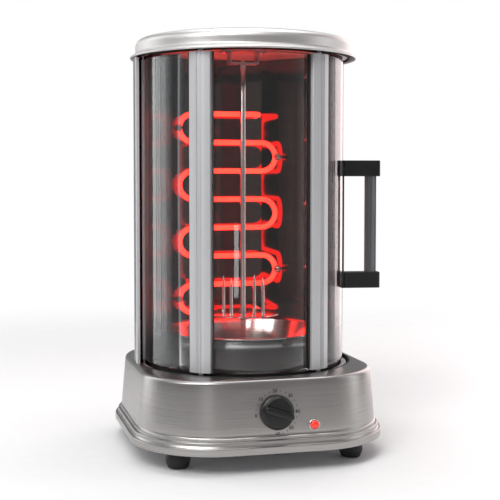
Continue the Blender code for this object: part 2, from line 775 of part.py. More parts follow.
def build_ceiling():
    edge = lid_wall_outer - lid_sheet - gap
    turned("ceiling_plate", ((edge, ceiling_z), (edge, ceiling_z + lid_sheet)), "dark_steel", root, 48)
    top = ceiling_z - gap
    low = top - top_track_height
    outer, wall = edge, track_wall
    inner = liner_radius + 0.0028
    profile = ((outer, low), (outer, top), (inner, top), (inner, low), (inner + wall, low),
               (inner + wall, top - wall), (outer - wall, top - wall), (outer - wall, low))
    turned("top_track", profile, "track_black", root, steps=48, closed=True)


def build_spit_bearing():
    """Hanging bracket with an open notch that steadies the spit's upper end."""
    top = ceiling_z - gap
    low = spit_top - 0.006
    half_x, half_y = bearing_half_width, bearing_half_depth
    ear = half_x + bearing_ear
    plate = low + 0.0020
    outline = ((-ear, top - sheet), (-half_x, top - sheet), (-half_x, low), (half_x, low),
               (half_x, top - sheet), (ear, top - sheet), (ear, top),
               (half_x - sheet, top), (half_x - sheet, plate), (sheet - half_x, plate),
               (sheet - half_x, top), (-ear, top))
    rings = [[Vector((x, y, z)) for x, z in outline] for y in (-half_y, half_y)]
    bracket = skin("spit_bearing", rings, "zinc_steel", root)
    bore = spit_radius + 0.0008
    notch = [Vector((bore * math.cos(math.radians(a)), bore * math.sin(math.radians(a)), 0))
             for a in range(180, 361, 20)]
    notch = [Vector((-bore, half_y + 0.005, 0))] + notch + [Vector((bore, half_y + 0.005, 0))]
    cut(bracket, "cut_spit_notch", [[Vector((p.x, p.y, z)) for p in notch] for z in (low - 0.01, plate + 0.004)])
    for side, x in (("left", bearing_ear / 2 - ear), ("right", ear - bearing_ear / 2)):
        skin(f"bearing_screw_{side}", screw_rings((x, 0, top - sheet), (0, 0, -1)), "screw_steel", root)


# ---------------------------------------------------------------- door
def post_outline():
    """Half-section of a door post as (along, out) points, from its inner face to its middle groove."""
    half = post_width / 2
    deep = half - groove_depth

    def seat(radius, along, clearance):
        return math.sqrt(radius ** 2 - along ** 2) + clearance

    right = [(half, post_inner), (half, seat(glass_inner, half, -glass_clearance)),
             (deep, seat(glass_inner, deep, -glass_clearance)),
             (deep, seat(glass_outer, deep, glass_clearance)),
             (half, seat(glass_outer, half, glass_clearance)), (half, post_outer - 0.0030),
             (half - 0.0008, post_outer - 0.0022), (post_groove_half, post_outer),
             (post_groove_half, post_outer - 0.0009),
             (0.0008, post_outer - 0.0009), (0.0008, post_outer - 0.0002)]
    left = [(-along, out) for along, out in reversed(right)]
    return right + left


def build_posts():
    for side, azimuth in (("left", left_post_azimuth), ("right", right_post_azimuth)):
        rings = [[local_to_door(along, out, azimuth, z) for along, out in post_outline()]
                 for z in (door_bottom, door_top)]
        skin(f"door_post_{side}", rings, "aluminium", door_axis)


def glass_edge_step():
    """Degrees from a post's middle to the edge of the glass inside its groove."""
    return math.degrees((post_width / 2 - groove_depth + glass_clearance) / glass_inner)


def build_glass():
    low, high = door_bottom, door_top
    edge = glass_edge_step()
    step = math.degrees(gap / glass_inner)
    left_end = door_left_azimuth + trim_span + step
    right_end = door_right_azimuth - trim_span - step
    sector("glass_left", glass_inner, glass_outer, low, high, left_end, left_post_azimuth - edge, 14,
           "door_glass", door_axis)
    sector("glass_front", glass_inner, glass_outer, low, high, left_post_azimuth + edge,
           right_post_azimuth - edge, 16, "door_glass", door_axis)
    sector("glass_right", glass_inner, glass_outer, low, high, right_post_azimuth + edge, right_end, 18,
           "door_glass", door_axis)
    sector("end_trim_left", glass_inner, glass_outer + 0.002, low, high, door_left_azimuth,
           door_left_azimuth + trim_span, 2, "aluminium", door_axis)
    sector("end_trim_right", glass_inner, glass_outer + 0.0006, low, high, door_right_azimuth - trim_span,
           door_right_azimuth, 2, "aluminium", door_axis)


def build_gaskets():
    """Black strips along the posts, outside the glass."""
    low, high = door_bottom + 0.001, door_top - 0.001
    half = math.degrees((post_width / 2 + gap) / glass_outer)
    base = glass_outer + gap
    face = base + gasket_thickness
    section = [(base, low), (face, low), (face, high), (base, high)]
    for side, azimuth in (("left", left_post_azimuth), ("right", right_post_azimuth)):
        for edge, way in (("outer", math.copysign(1, azimuth)), ("inner", -math.copysign(1, azimuth))):
            start = azimuth + way * (half + 0.12)
            skin(f"gasket_{side}_{edge}", sector_rings(section, start, start + way * gasket_span, 1),
                 "gasket_rubber", door_axis)


def build_door_rails():
    """Upper and lower arcs that guide the door, with studs that reach to its posts and end trims."""
    low = track_floor + sheet + rail_drop
    high = ceiling_z - gap - track_wall - rail_rise
    lower = sector("door_rail_lower", rail_inner, rail_outer, low, low + rail_height, door_left_azimuth,
                   door_right_azimuth, 36, "aluminium", door_axis)
    upper = sector("door_rail_upper", rail_inner, rail_outer, high - rail_height, high, door_left_azimuth,
                   door_right_azimuth, 36, "aluminium", door_axis)
    post_radius = (rail_inner + rail_outer) / 2
    trim_radius = rail_inner + trim_stud + gap
    studs = ((door_left_azimuth + trim_span / 2, trim_radius, trim_stud),
             (left_post_azimuth, post_radius, rail_stud), (right_post_azimuth, post_radius, rail_stud),
             (door_right_azimuth - trim_span / 2, trim_radius, trim_stud))
    for number, (azimuth, radius, wide) in enumerate(studs):
        for rail, start, end in ((lower, low + rail_height / 2, door_bottom - gap),
                                 (upper, door_top + gap, high - rail_height / 2)):
            spot = polar(radius, azimuth)
            rings = [circle_ring(wide, z, 12, (spot.x, spot.y)) for z in (start, end)]
            join_onto(rail, f"join_stud_{rail.name}_{number}", rings)


def door_box(low_out, high_out, half_width, low_z, high_z, bevel=0.0):
    """A block at the handle's azimuth, with its corners cut by bevel."""
    corners = [(-half_width, low_out), (half_width, low_out), (half_width, high_out - bevel),
               (half_width - bevel, high_out), (bevel - half_width, high_out), (-half_width, high_out - bevel)]
    if bevel == 0.0:
        corners = [(-half_width, low_out), (half_width, low_out), (half_width, high_out), (-half_width, high_out)]
    return [[local_to_door(along, out, handle_azimuth, z) for along, out in corners] for z in (low_z, high_z)]


def build_handle():
    half = handle_width / 2
    glass_face = glass_outer + gap
    backing = glass_face + handle_plate
    plate = door_box(glass_face, backing, half * 0.94, handle_low, handle_high)
    skin("handle_back_plate", plate, "black_plastic", door_axis)
    start = backing + gap
    for place, low in (("lower", handle_low), ("upper", handle_high - handle_block)):
        block = skin(f"handle_block_{place}",
                     door_box(start, handle_reach, half, low, low + handle_block, block_bevel),
                     "black_plastic", door_axis)
        pocket_low = low + grip_seat if place == "lower" else low - 0.01
        pocket_high = low + handle_block + (0.01 if place == "lower" else -grip_seat)
        pocket = grip_outline(gap)
        cut(block, f"cut_pocket_{place}",
            [[local_to_door(along, out, handle_azimuth, z) for along, out in pocket]
             for z in (pocket_low, pocket_high)])
    low, high = handle_low + grip_seat + gap, handle_high - grip_seat - gap
    rings = [[local_to_door(along, out, handle_azimuth, z) for along, out in grip_outline(0.0, True)]
             for z in (low, high)]
    skin("handle_grip", rings, "grip_aluminium", door_axis)
    inward = -polar(1, handle_azimuth)
    for place, z in (("lower", handle_low + handle_block / 2), ("upper", handle_high - handle_block / 2)):
        head = screw_rings(polar(glass_inner, handle_azimuth, z), inward, 0.0035, 0.0016, 12)
        skin(f"handle_screw_{place}", head, "screw_steel", door_axis)


def grip_outline(grow, fluted=False):
    """Rounded bar, with fine flutes on its long faces where it is held."""
    middle = (grip_inner + grip_outer) / 2
    half_out = (grip_outer - grip_inner) / 2 - 0.0015
    half_along = handle_width / 2 - 0.0030
    steps = 32
    points = []
    for i in range(steps):
        angle = 2 * math.pi * i / steps
        flute = 0.0005 if fluted and i % 2 else 0.0
        along = (half_along + grow - flute) * math.copysign(abs(math.cos(angle)) ** 0.6, math.cos(angle))
        out = (half_out + grow - flute) * math.copysign(abs(math.sin(angle)) ** 0.6, math.sin(angle))
        points.append((along, middle + out))
    return points


# ---------------------------------------------------------------- build
clear_scene()
materials = make_materials()
root = empty("oven_axis", location=(origin_x, origin_y, 0))
door_axis = empty("door_axis", root)
drive_axis = empty("drive_axis", root)
panel = empty("panel", root, (0, panel_point(panel_height), panel_height),
              (math.radians(90) - panel_tilt, 0, 0))
knob_axis = empty("knob_axis", panel)

build_base_cover()
build_base_plate()
build_feet()
build_door_track()
build_floor_plate()
drive_low = build_motor()
build_terminal_block()
build_inlet()
build_timer()
build_power_lamp()
build_drive(drive_low)
build_spit()
build_drip_tray()
build_housing()
build_liner()
build_element()
build_element_clips()
build_lid()
build_ceiling()
build_spit_bearing()
build_posts()
build_glass()
build_gaskets()
build_door_rails()
build_handle()
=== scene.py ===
import json
import math

import bmesh
import bpy
from mathutils import Matrix, Vector


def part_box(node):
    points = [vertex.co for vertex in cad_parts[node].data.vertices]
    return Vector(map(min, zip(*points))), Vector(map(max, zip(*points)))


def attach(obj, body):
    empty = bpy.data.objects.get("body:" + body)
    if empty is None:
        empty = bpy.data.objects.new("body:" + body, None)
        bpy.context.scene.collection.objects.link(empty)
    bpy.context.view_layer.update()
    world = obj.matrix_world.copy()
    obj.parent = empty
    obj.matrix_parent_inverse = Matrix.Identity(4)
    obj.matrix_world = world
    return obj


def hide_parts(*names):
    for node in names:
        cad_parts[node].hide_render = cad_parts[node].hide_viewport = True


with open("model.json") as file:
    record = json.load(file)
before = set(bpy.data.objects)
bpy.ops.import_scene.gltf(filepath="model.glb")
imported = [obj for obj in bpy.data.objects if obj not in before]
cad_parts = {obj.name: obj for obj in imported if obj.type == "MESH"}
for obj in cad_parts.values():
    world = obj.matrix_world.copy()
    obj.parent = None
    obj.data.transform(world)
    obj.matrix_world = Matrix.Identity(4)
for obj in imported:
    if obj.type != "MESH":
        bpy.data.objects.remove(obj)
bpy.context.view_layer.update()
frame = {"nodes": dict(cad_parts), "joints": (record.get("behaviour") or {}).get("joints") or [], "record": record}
nodes = frame["nodes"]

joints = {joint["name"]: joint for joint in frame["joints"]}
spit = Vector(joints["door_turn"]["pos_m"]).xy      # everything round is centred on the spit
panelSpot = Vector(joints["timer_turn"]["pos_m"])   # knob's centre on the sloping front wall
panelOut = Vector(joints["timer_turn"]["axis"])
panelRight = Vector((1, 0, 0))
panelUp = panelOut.cross(panelRight)
print("frame loaded:", len(nodes), "nodes")


# shader maths

class Signal:
    def __init__(self, finish, out):
        self.finish = finish
        self.out = out

    def maths(self, operation, *others):
        return self.finish.add("ShaderNodeMath", {"operation": operation}, dict(enumerate((self, *others))))

    def __add__(self, other):
        return self.maths("ADD", other)

    def __sub__(self, other):
        return self.maths("SUBTRACT", other)

    def __mul__(self, other):
        return self.maths("MULTIPLY", other)

    def between(self, low, high, toLow=0.0, toHigh=1.0):
        return self.finish.add("ShaderNodeMapRange", {"interpolation_type": "SMOOTHSTEP"},
                               {"Value": self, "From Min": low, "From Max": high,
                                "To Min": toLow, "To Max": toHigh})


class Finish:
    def __init__(self, name, **constants):
        self.material = bpy.data.materials.new(name)
        self.material.use_nodes = True
        self.tree = self.material.node_tree
        self.shader = self.tree.nodes["Principled BSDF"]
        for socket, value in constants.items():
            self.shader.inputs[socket.replace("_", " ")].default_value = value

    def add(self, kind, settings, sockets, out=0):
        made = self.tree.nodes.new(kind)
        for key, value in settings.items():
            setattr(made, key, value)
        for key, value in sockets.items():
            self.feed(made.inputs[key], value)
        return Signal(self, made.outputs[out])

    def feed(self, socket, value):
        if isinstance(value, Signal):
            self.tree.links.new(value.out, socket)
        else:
            socket.default_value = value

    def place(self, scale=(1, 1, 1)):
        coords = self.add("ShaderNodeTexCoord", {}, {}, "Object")
        return self.add("ShaderNodeMapping", {}, {"Vector": coords, "Scale": scale})

    def noise(self, scale, detail=3.0, roughness=0.55, stretch=(1, 1, 1)):
        return self.add("ShaderNodeTexNoise", {}, {"Vector": self.place(stretch), "Scale": scale,
                                                   "Detail": detail, "Roughness": roughness}, "Fac")

    def blend(self, share, first, second):
        return self.add("ShaderNodeMix", {"data_type": "RGBA"}, {0: share, 6: first, 7: second}, 2)

    def bump(self, height, distance, strength=1.0):
        return self.add("ShaderNodeBump", {}, {"Height": height, "Distance": distance,
                                               "Strength": strength}, "Normal")

    def facingUp(self):
        normal = self.add("ShaderNodeNewGeometry", {}, {}, "Normal")
        parts = self.add("ShaderNodeSeparateXYZ", {}, {0: normal}, "Z")
        return parts.maths("ABSOLUTE").between(0.62, 0.86)

    def use(self, **signals):
        for socket, value in signals.items():
            self.feed(self.shader.inputs[socket.replace("_", " ")], value)
        return self.material


def rgba(red, green=None, blue=None):
    if green is None:
        green = blue = red
    return (red, green, blue, 1.0)


# finishes

def brushedSteel(name, light, dark, polish, grain=3000.0):
    finish = Finish(name, Metallic=1.0, Anisotropic=0.55)
    around = finish.noise(1.0, 2.0, 0.6, (14, 14, grain))
    streak = finish.noise(1.0, 3.0, 0.6, (4, 4, grain * 0.30))
    across = finish.noise(1.0, 2.0, 0.6, (14, grain, 14))
    brush = finish.blend(finish.facingUp(), around, across)
    brush = finish.add("ShaderNodeRGBToBW", {}, {0: brush})
    cloud = finish.noise(9.0, 3.0)
    share = (brush - 0.5) * 0.9 + (streak - 0.5) * 0.45 + (cloud - 0.5) * 0.5 + 0.5
    colour = finish.blend(share.between(0.15, 0.85), rgba(*dark), rgba(*light))
    rough = (brush - 0.5) * 0.22 + (cloud - 0.5) * 0.10 + polish
    return finish.use(Base_Color=colour, Roughness=rough,
                      Normal=finish.bump(brush * 0.6 + streak * 0.4, 0.00006, 0.35))


def polishedSteel(name, colour, polish, drawn=900.0):
    finish = Finish(name, Metallic=1.0)
    lines = finish.noise(1.0, 2.0, 0.6, (6, 6, drawn))
    smear = finish.noise(22.0, 4.0, 0.6)
    tint = finish.blend(smear.between(0.35, 0.7), rgba(*colour), rgba(*[c * 0.84 for c in colour]))
    rough = (smear - 0.45) * 0.16 + (lines - 0.5) * 0.06 + polish
    return finish.use(Base_Color=tint, Roughness=rough, Normal=finish.bump(lines, 0.00002, 0.15))


# finish for the reflector liner; the dark warm colour it is given is painted shade and painted red glow
def linerSteelPaintedShade(name, colour, polish):
    finish = Finish(name, Metallic=1.0)
    smear = finish.noise(7.0, 3.0, 0.55)
    film = finish.noise(40.0, 3.0, 0.6)
    tint = finish.blend(smear.between(0.3, 0.7), rgba(*colour), rgba(*[c * 0.7 for c in colour]))
    wave = finish.noise(5.0, 1.0, 0.4, (1, 1, 0.5))
    return finish.use(Base_Color=tint, Roughness=(film - 0.4) * 0.10 + polish,
                      Normal=finish.bump(wave, 0.0006, 0.25))


def paintedSteel(name, colour, polish):
    finish = Finish(name, Metallic=0.35)
    speck = finish.noise(900.0, 2.0)
    film = finish.noise(14.0, 4.0)
    tint = finish.blend(film.between(0.3, 0.75), rgba(*colour), rgba(*[c * 1.7 + 0.004 for c in colour]))
    rough = (film - 0.5) * 0.25 + polish
    return finish.use(Base_Color=tint, Roughness=rough, Normal=finish.bump(speck, 0.00008, 0.4))


def platedSteel(name, colour, polish):
    finish = Finish(name, Metallic=1.0)
    crystal = finish.add("ShaderNodeTexVoronoi", {"feature": "F1"},
                         {"Vector": finish.place(), "Scale": 260.0}, "Color")
    crystal = finish.add("ShaderNodeRGBToBW", {}, {0: crystal})
    film = finish.noise(30.0, 3.0)
    tint = finish.blend(crystal * 0.5 + film * 0.5, rgba(*[c * 0.85 for c in colour]), rgba(*colour))
    return finish.use(Base_Color=tint, Roughness=(film - 0.5) * 0.2 + (crystal - 0.5) * 0.06 + polish)


def drawnAluminium(name, light, dark, polish):
    finish = Finish(name, Metallic=0.6)
    draw = finish.noise(1.0, 3.0, 0.65, (1500, 1500, 3))
    band = finish.noise(1.0, 2.0, 0.5, (260, 260, 1.5))
    cloud = finish.noise(12.0, 2.0)
    share = (draw - 0.5) * 0.8 + (band - 0.5) * 0.8 + (cloud - 0.5) * 0.3 + 0.5
    colour = finish.blend(share.between(0.2, 0.8), rgba(*dark), rgba(*light))
    rough = (draw - 0.5) * 0.14 + (cloud - 0.5) * 0.06 + polish
    return finish.use(Base_Color=colour, Roughness=rough, Normal=finish.bump(draw, 0.00004, 0.3))


def mouldedPlastic(name, colour, polish, grainSize=0.0004):
    finish = Finish(name, Specular_IOR_Level=0.5)
    grain = finish.add("ShaderNodeTexVoronoi", {"feature": "SMOOTH_F1"},
                       {"Vector": finish.place(), "Scale": 1.0 / grainSize}, "Distance")
    film = finish.noise(35.0, 3.0)
    tint = finish.blend(film.between(0.3, 0.8), rgba(*colour), rgba(*[c * 1.35 + 0.003 for c in colour]))
    return finish.use(Base_Color=tint, Roughness=(film - 0.5) * 0.16 + polish,
                      Normal=finish.bump(grain, 0.00005, 0.35))


def doorGlass(name):
    # a thin pane: a mirror film whose share grows towards grazing, over clear space
    finish = Finish(name, Metallic=1.0, Roughness=0.02)
    gloss = finish.add("ShaderNodeFresnel", {}, {"IOR": 1.52})
    haze = finish.noise(26.0, 4.0, 0.6).between(0.45, 0.8, 0.0, 0.015)
    tint = finish.blend(gloss.between(0.1, 0.9), rgba(0.80, 0.83, 0.83), rgba(0.97, 0.98, 0.98))
    cover = (gloss * 1.2 + haze).maths("MINIMUM", 0.96)
    return finish.use(Base_Color=tint, Alpha=cover)


def glowingTube(name, colour, strength):
    finish = Finish(name, Roughness=0.55, Emission_Strength=strength)
    heat = finish.noise(28.0, 2.0)
    hotter = rgba(colour[0], colour[1] * 1.5, colour[2] * 1.4)
    glow = finish.blend(heat.between(0.25, 0.75), rgba(*colour), hotter)
    scale = finish.noise(900.0, 3.0)
    return finish.use(Base_Color=finish.blend(heat, rgba(0.30, 0.04, 0.02), rgba(0.42, 0.07, 0.03)),
                      Emission_Color=glow, Normal=finish.bump(scale, 0.00006, 0.4))


def lampLens(name):
    finish = Finish(name, Roughness=0.08, Emission_Strength=1.0, Coat_Weight=0.6)
    facet = finish.add("ShaderNodeTexVoronoi", {"feature": "F1"},
                       {"Vector": finish.place(), "Scale": 700.0}, "Distance")
    glow = finish.blend(facet.between(0.05, 0.45), rgba(1.0, 0.22, 0.05), rgba(0.36, 0.004, 0.003))
    return finish.use(Base_Color=rgba(0.75, 0.02, 0.015), Emission_Color=glow,
                      Normal=finish.bump(facet, 0.0003, 0.5))


def ceramicBody(name):
    finish = Finish(name)
    film = finish.noise(60.0, 4.0)
    return finish.use(Base_Color=finish.blend(film, rgba(0.78, 0.74, 0.66), rgba(0.88, 0.86, 0.80)),
                      Roughness=(film - 0.5) * 0.2 + 0.6, Normal=finish.bump(film, 0.0001, 0.3))


def printedInk(name):
    finish = Finish(name, Specular_IOR_Level=0.3)
    film = finish.noise(700.0, 2.0)
    return finish.use(Base_Color=finish.blend(film, rgba(0.012), rgba(0.035)), Roughness=film * 0.2 + 0.45)


finishes = {
    # the base's brushed steel is painted darker than the lid's copy of the same steel: painted shade on the base
    "brushed_steel": brushedSteel("brushedSteel", (0.45, 0.44, 0.43), (0.33, 0.32, 0.31), 0.31),
    "polished_steel": polishedSteel("polishedSteel", (0.74, 0.72, 0.70), 0.15),
    # the liner's dark warm tone is painted shade of the enclosed interior plus painted red glow from the element,
    # not the reflector steel's own colour
    "liner_painted_shade": linerSteelPaintedShade("linerSteelPaintedShade", (0.120, 0.080, 0.074), 0.07),
    # the ceiling's warm pink tone is a painted reflection of the element's red glow; the ceiling's own steel is
    # dark
    "ceiling_painted_glow": paintedSteel("ceilingPaintedGlow", (0.62, 0.40, 0.36), 0.50),
    # the lid's copy of the brushed steel is painted lighter than the base's: painted light on the lid
    "lid_steel_painted_light": brushedSteel("lidSteelPaintedLight", (0.72, 0.71, 0.70), (0.58, 0.57, 0.56), 0.42),
    "dark_steel": paintedSteel("darkSteel", (0.030, 0.028, 0.027), 0.42),
    "zinc_steel": platedSteel("zincSteel", (0.55, 0.56, 0.58), 0.36),
    "screw_steel": platedSteel("screwSteel", (0.72, 0.71, 0.69), 0.22),
    "aluminium": drawnAluminium("doorAluminium", (0.66, 0.665, 0.68), (0.56, 0.565, 0.58), 0.50),
    "grip_aluminium": drawnAluminium("gripAluminium", (0.24, 0.24, 0.25), (0.12, 0.12, 0.13), 0.34),
    "door_glass": doorGlass("doorGlass"),
    "black_plastic": mouldedPlastic("blackPlastic", (0.006, 0.006, 0.0065), 0.40),
    "track_black": paintedSteel("trackBlack", (0.010, 0.010, 0.010), 0.62),
    "gasket_rubber": mouldedPlastic("gasketRubber", (0.012, 0.012, 0.012), 0.72),
    "foot_rubber": mouldedPlastic("footRubber", (0.014, 0.013, 0.013), 0.62, 0.0007),
    "hot_element": glowingTube("hotElement", (1.0, 0.0105, 0.0062), 9.0),
    "ceramic": ceramicBody("ceramicSleeve"),
    "lamp_red": lampLens("lampRed"),
    "unit_plastic": mouldedPlastic("unitPlastic", (0.62, 0.61, 0.56), 0.48),
}
ink = printedInk("dialInk")
print("finishes made:", len(finishes) + 1)


# mesh tools

def polar(radius, azimuth, z=0.0):
    angle = math.radians(azimuth)
    return Vector((spit.x + radius * math.sin(angle), spit.y - radius * math.cos(angle), z))


def besideWall(along, out, azimuth, z):
    angle = math.radians(azimuth)
    return Vector((spit.x + out * math.sin(angle) + along * math.cos(angle),
                   spit.y - out * math.cos(angle) + along * math.sin(angle), z))


def circle(radius, z, steps, centre=None):
    middle = spit if centre is None else centre
    return [Vector((middle.x + radius * math.cos(2 * math.pi * i / steps),
                    middle.y + radius * math.sin(2 * math.pi * i / steps), z)) for i in range(steps)]


def arc(x, z, radius, start, end, count):
    # points of a fillet in a profile, in degrees
    return [(x + radius * math.cos(math.radians(start + (end - start) * i / count)),
             z + radius * math.sin(math.radians(start + (end - start) * i / count)))
            for i in range(count + 1)]


def skinRings(mesh, rings, closed):
    loops = [[mesh.verts.new(point) for point in ring] for ring in rings]
    pairs = list(zip(loops, loops[1:]))
    if closed:
        pairs.append((loops[-1], loops[0]))
    else:
        mesh.faces.new(loops[0])
        mesh.faces.new(loops[-1])
    for low, high in pairs:
        for i in range(len(low)):
            j = (i + 1) % len(low)
            mesh.faces.new((low[i], low[j], high[j], high[i]))


def makeObject(name, mesh, material, angle=30):
    bmesh.ops.remove_doubles(mesh, verts=mesh.verts, dist=1e-7)
    bmesh.ops.recalc_face_normals(mesh, faces=mesh.faces)
    data = bpy.data.meshes.new(name)
    mesh.to_mesh(data)
    mesh.free()
    data.materials.append(material)
    data.shade_smooth()
    data.set_sharp_from_angle(angle=math.radians(angle))
    piece = bpy.data.objects.new(name, data)
    bpy.context.scene.collection.objects.link(piece)
    return piece


def fromRings(name, rings, material, closed=False, angle=30):
    mesh = bmesh.new()
    skinRings(mesh, rings, closed)
    return makeObject(name, mesh, material, angle)


def turn(name, profile, material, steps=160, closed=True, angle=30):
    return fromRings(name, [circle(r, z, steps) for r, z in profile], material, closed, angle)


def sector(name, section, start, end, steps, material):
    rings = [[polar(r, start + (end - start) * i / steps, z) for r, z in section] for i in range(steps + 1)]
    return fromRings(name, rings, material)


def settle(piece, body, slot, *replaced):
    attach(piece, body)
    if replaced:
        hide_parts(*replaced)


def bevelled(piece, width):
    bevel = piece.modifiers.new("softEdges", "BEVEL")
    bevel.width = width
    bevel.segments = 3
    bevel.limit_method = "ANGLE"
    bevel.angle_limit = math.radians(35)
    bevel.harden_normals = True


def reachOf(node):
    # a round node's radius, and its lowest and highest level
    low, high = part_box(node)
    return (high[0] - low[0]) / 2, low[2], high[2]


# repeated fastener heads, one tree for all of them

def headsTree():
    tree = bpy.data.node_groups.new("fastenerHeads", "GeometryNodeTree")
    face = tree.interface
    face.new_socket("Geometry", in_out="INPUT", socket_type="NodeSocketGeometry")
    for name, kind, value in (("Head Radius", "NodeSocketFloat", 0.003),
                              ("Head Rise", "NodeSocketFloat", 0.001),
                              ("Turn Spread", "NodeSocketFloat", 3.1),   # radians
                              ("Seed", "NodeSocketInt", 4)):
        face.new_socket(name, in_out="INPUT", socket_type=kind).default_value = value
    face.new_socket("Finish", in_out="INPUT", socket_type="NodeSocketMaterial")
    face.new_socket("Geometry", in_out="OUTPUT", socket_type="NodeSocketGeometry")
    make = tree.nodes.new
    link = tree.links.new
    given = make("NodeGroupInput")
    result = make("NodeGroupOutput")

    dome = make("GeometryNodeMeshUVSphere")
    dome.inputs["Segments"].default_value = 18
    dome.inputs["Rings"].default_value = 8
    dome.inputs["Radius"].default_value = 1.0
    size = make("ShaderNodeCombineXYZ")
    link(given.outputs["Head Radius"], size.inputs["X"])
    link(given.outputs["Head Radius"], size.inputs["Y"])
    link(given.outputs["Head Rise"], size.inputs["Z"])
    shaped = make("GeometryNodeTransform")
    link(dome.outputs["Mesh"], shaped.inputs["Geometry"])
    link(size.outputs[0], shaped.inputs["Scale"])

    bar = make("GeometryNodeMeshCube")
    barSize = make("ShaderNodeCombineXYZ")
    link(given.outputs["Head Radius"], barSize.inputs["X"])
    thin = make("ShaderNodeMath")
    thin.operation = "MULTIPLY"
    thin.inputs[1].default_value = 0.22     # width of a slot, as a share of the head's radius
    link(given.outputs["Head Radius"], thin.inputs[0])
    link(thin.outputs[0], barSize.inputs["Y"])
    link(given.outputs["Head Rise"], barSize.inputs["Z"])
    link(barSize.outputs[0], bar.inputs["Size"])
    cross = make("GeometryNodeTransform")
    cross.inputs["Rotation"].default_value = (0, 0, math.pi / 2)
    link(bar.outputs["Mesh"], cross.inputs["Geometry"])
    bars = make("GeometryNodeJoinGeometry")
    link(bar.outputs["Mesh"], bars.inputs[0])
    link(cross.outputs["Geometry"], bars.inputs[0])
    lift = make("ShaderNodeCombineXYZ")
    link(given.outputs["Head Rise"], lift.inputs["Z"])
    lifted = make("GeometryNodeTransform")
    link(bars.outputs["Geometry"], lifted.inputs["Geometry"])
    link(lift.outputs[0], lifted.inputs["Translation"])
    recess = make("GeometryNodeMeshBoolean")
    recess.operation = "DIFFERENCE"
    link(shaped.outputs["Geometry"], recess.inputs[0])
    link(lifted.outputs["Geometry"], recess.inputs[1])

    facing = make("GeometryNodeInputNamedAttribute")
    facing.data_type = "FLOAT_VECTOR"
    facing.inputs["Name"].default_value = "facing"
    aim = make("FunctionNodeAlignRotationToVector")
    aim.axis = "Z"
    link(facing.outputs["Attribute"], aim.inputs["Vector"])
    spread = make("FunctionNodeRandomValue")
    spread.data_type = "FLOAT"
    link(given.outputs["Turn Spread"], spread.inputs[3])
    link(given.outputs["Seed"], spread.inputs["Seed"])
    twist = make("FunctionNodeAxisAngleToRotation")
    link(spread.outputs[1], twist.inputs["Angle"])
    turned = make("FunctionNodeRotateRotation")
    turned.rotation_space = "LOCAL"
    link(aim.outputs["Rotation"], turned.inputs["Rotation"])
    link(twist.outputs["Rotation"], turned.inputs["Rotate By"])

    placed = make("GeometryNodeInstanceOnPoints")
    link(given.outputs["Geometry"], placed.inputs["Points"])
    link(recess.outputs["Mesh"], placed.inputs["Instance"])
    link(turned.outputs["Rotation"], placed.inputs["Rotation"])
    real = make("GeometryNodeRealizeInstances")
    link(placed.outputs["Instances"], real.inputs["Geometry"])
    painted = make("GeometryNodeSetMaterial")
    link(real.outputs["Geometry"], painted.inputs["Geometry"])
    link(given.outputs["Finish"], painted.inputs["Material"])
    link(painted.outputs["Geometry"], result.inputs["Geometry"])
    return tree


fastenerTree = headsTree()


def grow(carrier, tree, inputs):
    # runs a node tree on a carrier object and keeps the plain mesh
    modifier = carrier.modifiers.new("grown", "NODES")
    modifier.node_group = tree
    for item in tree.interface.items_tree:
        if item.item_type == "SOCKET" and item.in_out == "INPUT" and item.name in inputs:
            modifier[item.identifier] = inputs[item.name]
    bpy.context.view_layer.update()
    reading = bpy.context.evaluated_depsgraph_get()
    mesh = bpy.data.meshes.new_from_object(carrier.evaluated_get(reading))
    carrier.modifiers.remove(modifier)
    carrier.data = mesh


def heads(name, spots, body, slot, settings):
    carrier = bpy.data.meshes.new(name)
    carrier.from_pydata([spot for spot, _ in spots], [], [])
    facing = carrier.attributes.new("facing", "FLOAT_VECTOR", "POINT")
    for entry, (_, way) in zip(facing.data, spots):
        entry.vector = way
    piece = bpy.data.objects.new(name, carrier)
    bpy.context.scene.collection.objects.link(piece)
    grow(piece, fastenerTree, {"Head Radius": settings["radius"], "Head Rise": settings["rise"],
                               "Seed": settings["seed"], "Finish": finishes[slot]})
    piece.data.shade_smooth()
    piece.data.set_sharp_from_angle(angle=math.radians(35))
    settle(piece, body, slot)


# base

baseCover = {
    "halfWidth": 0.149, "front": 0.158, "rear": 0.150, "corner": 0.097,
    "sheet": 0.0015, "lowInset": 0.0078, "topInset": 0.0125, "shoulder": 0.0050,
    "bead": 0.0035, "bandHeight": 0.0085, "stepHeight": 0.0060, "flare": 0.0055,
    "holeRadius": 0.1300, "steps": 240,
}


def outlineReach(angle, inset):
    s = baseCover
    middleY = (s["rear"] - s["front"]) / 2
    cosine, sine = math.cos(angle), math.sin(angle)
    near, far = 0.0, 0.25
    for _ in range(36):
        middle = (near + far) / 2
        overX = abs(middle * cosine) - (s["halfWidth"] - s["corner"])
        overY = abs(middle * sine - middleY) - ((s["front"] + s["rear"]) / 2 - s["corner"])
        outside = math.hypot(max(overX, 0.0), max(overY, 0.0))
        if outside + min(max(overX, overY), 0.0) - s["corner"] < -inset:
            near = middle
        else:
            far = middle
    return near


def outline(inset, z):
    ring = []
    for i in range(baseCover["steps"]):
        angle = 2 * math.pi * i / baseCover["steps"]
        reach = outlineReach(angle, inset)
        ring.append(Vector((spit.x + reach * math.cos(angle), spit.y + reach * math.sin(angle), z)))
    return ring


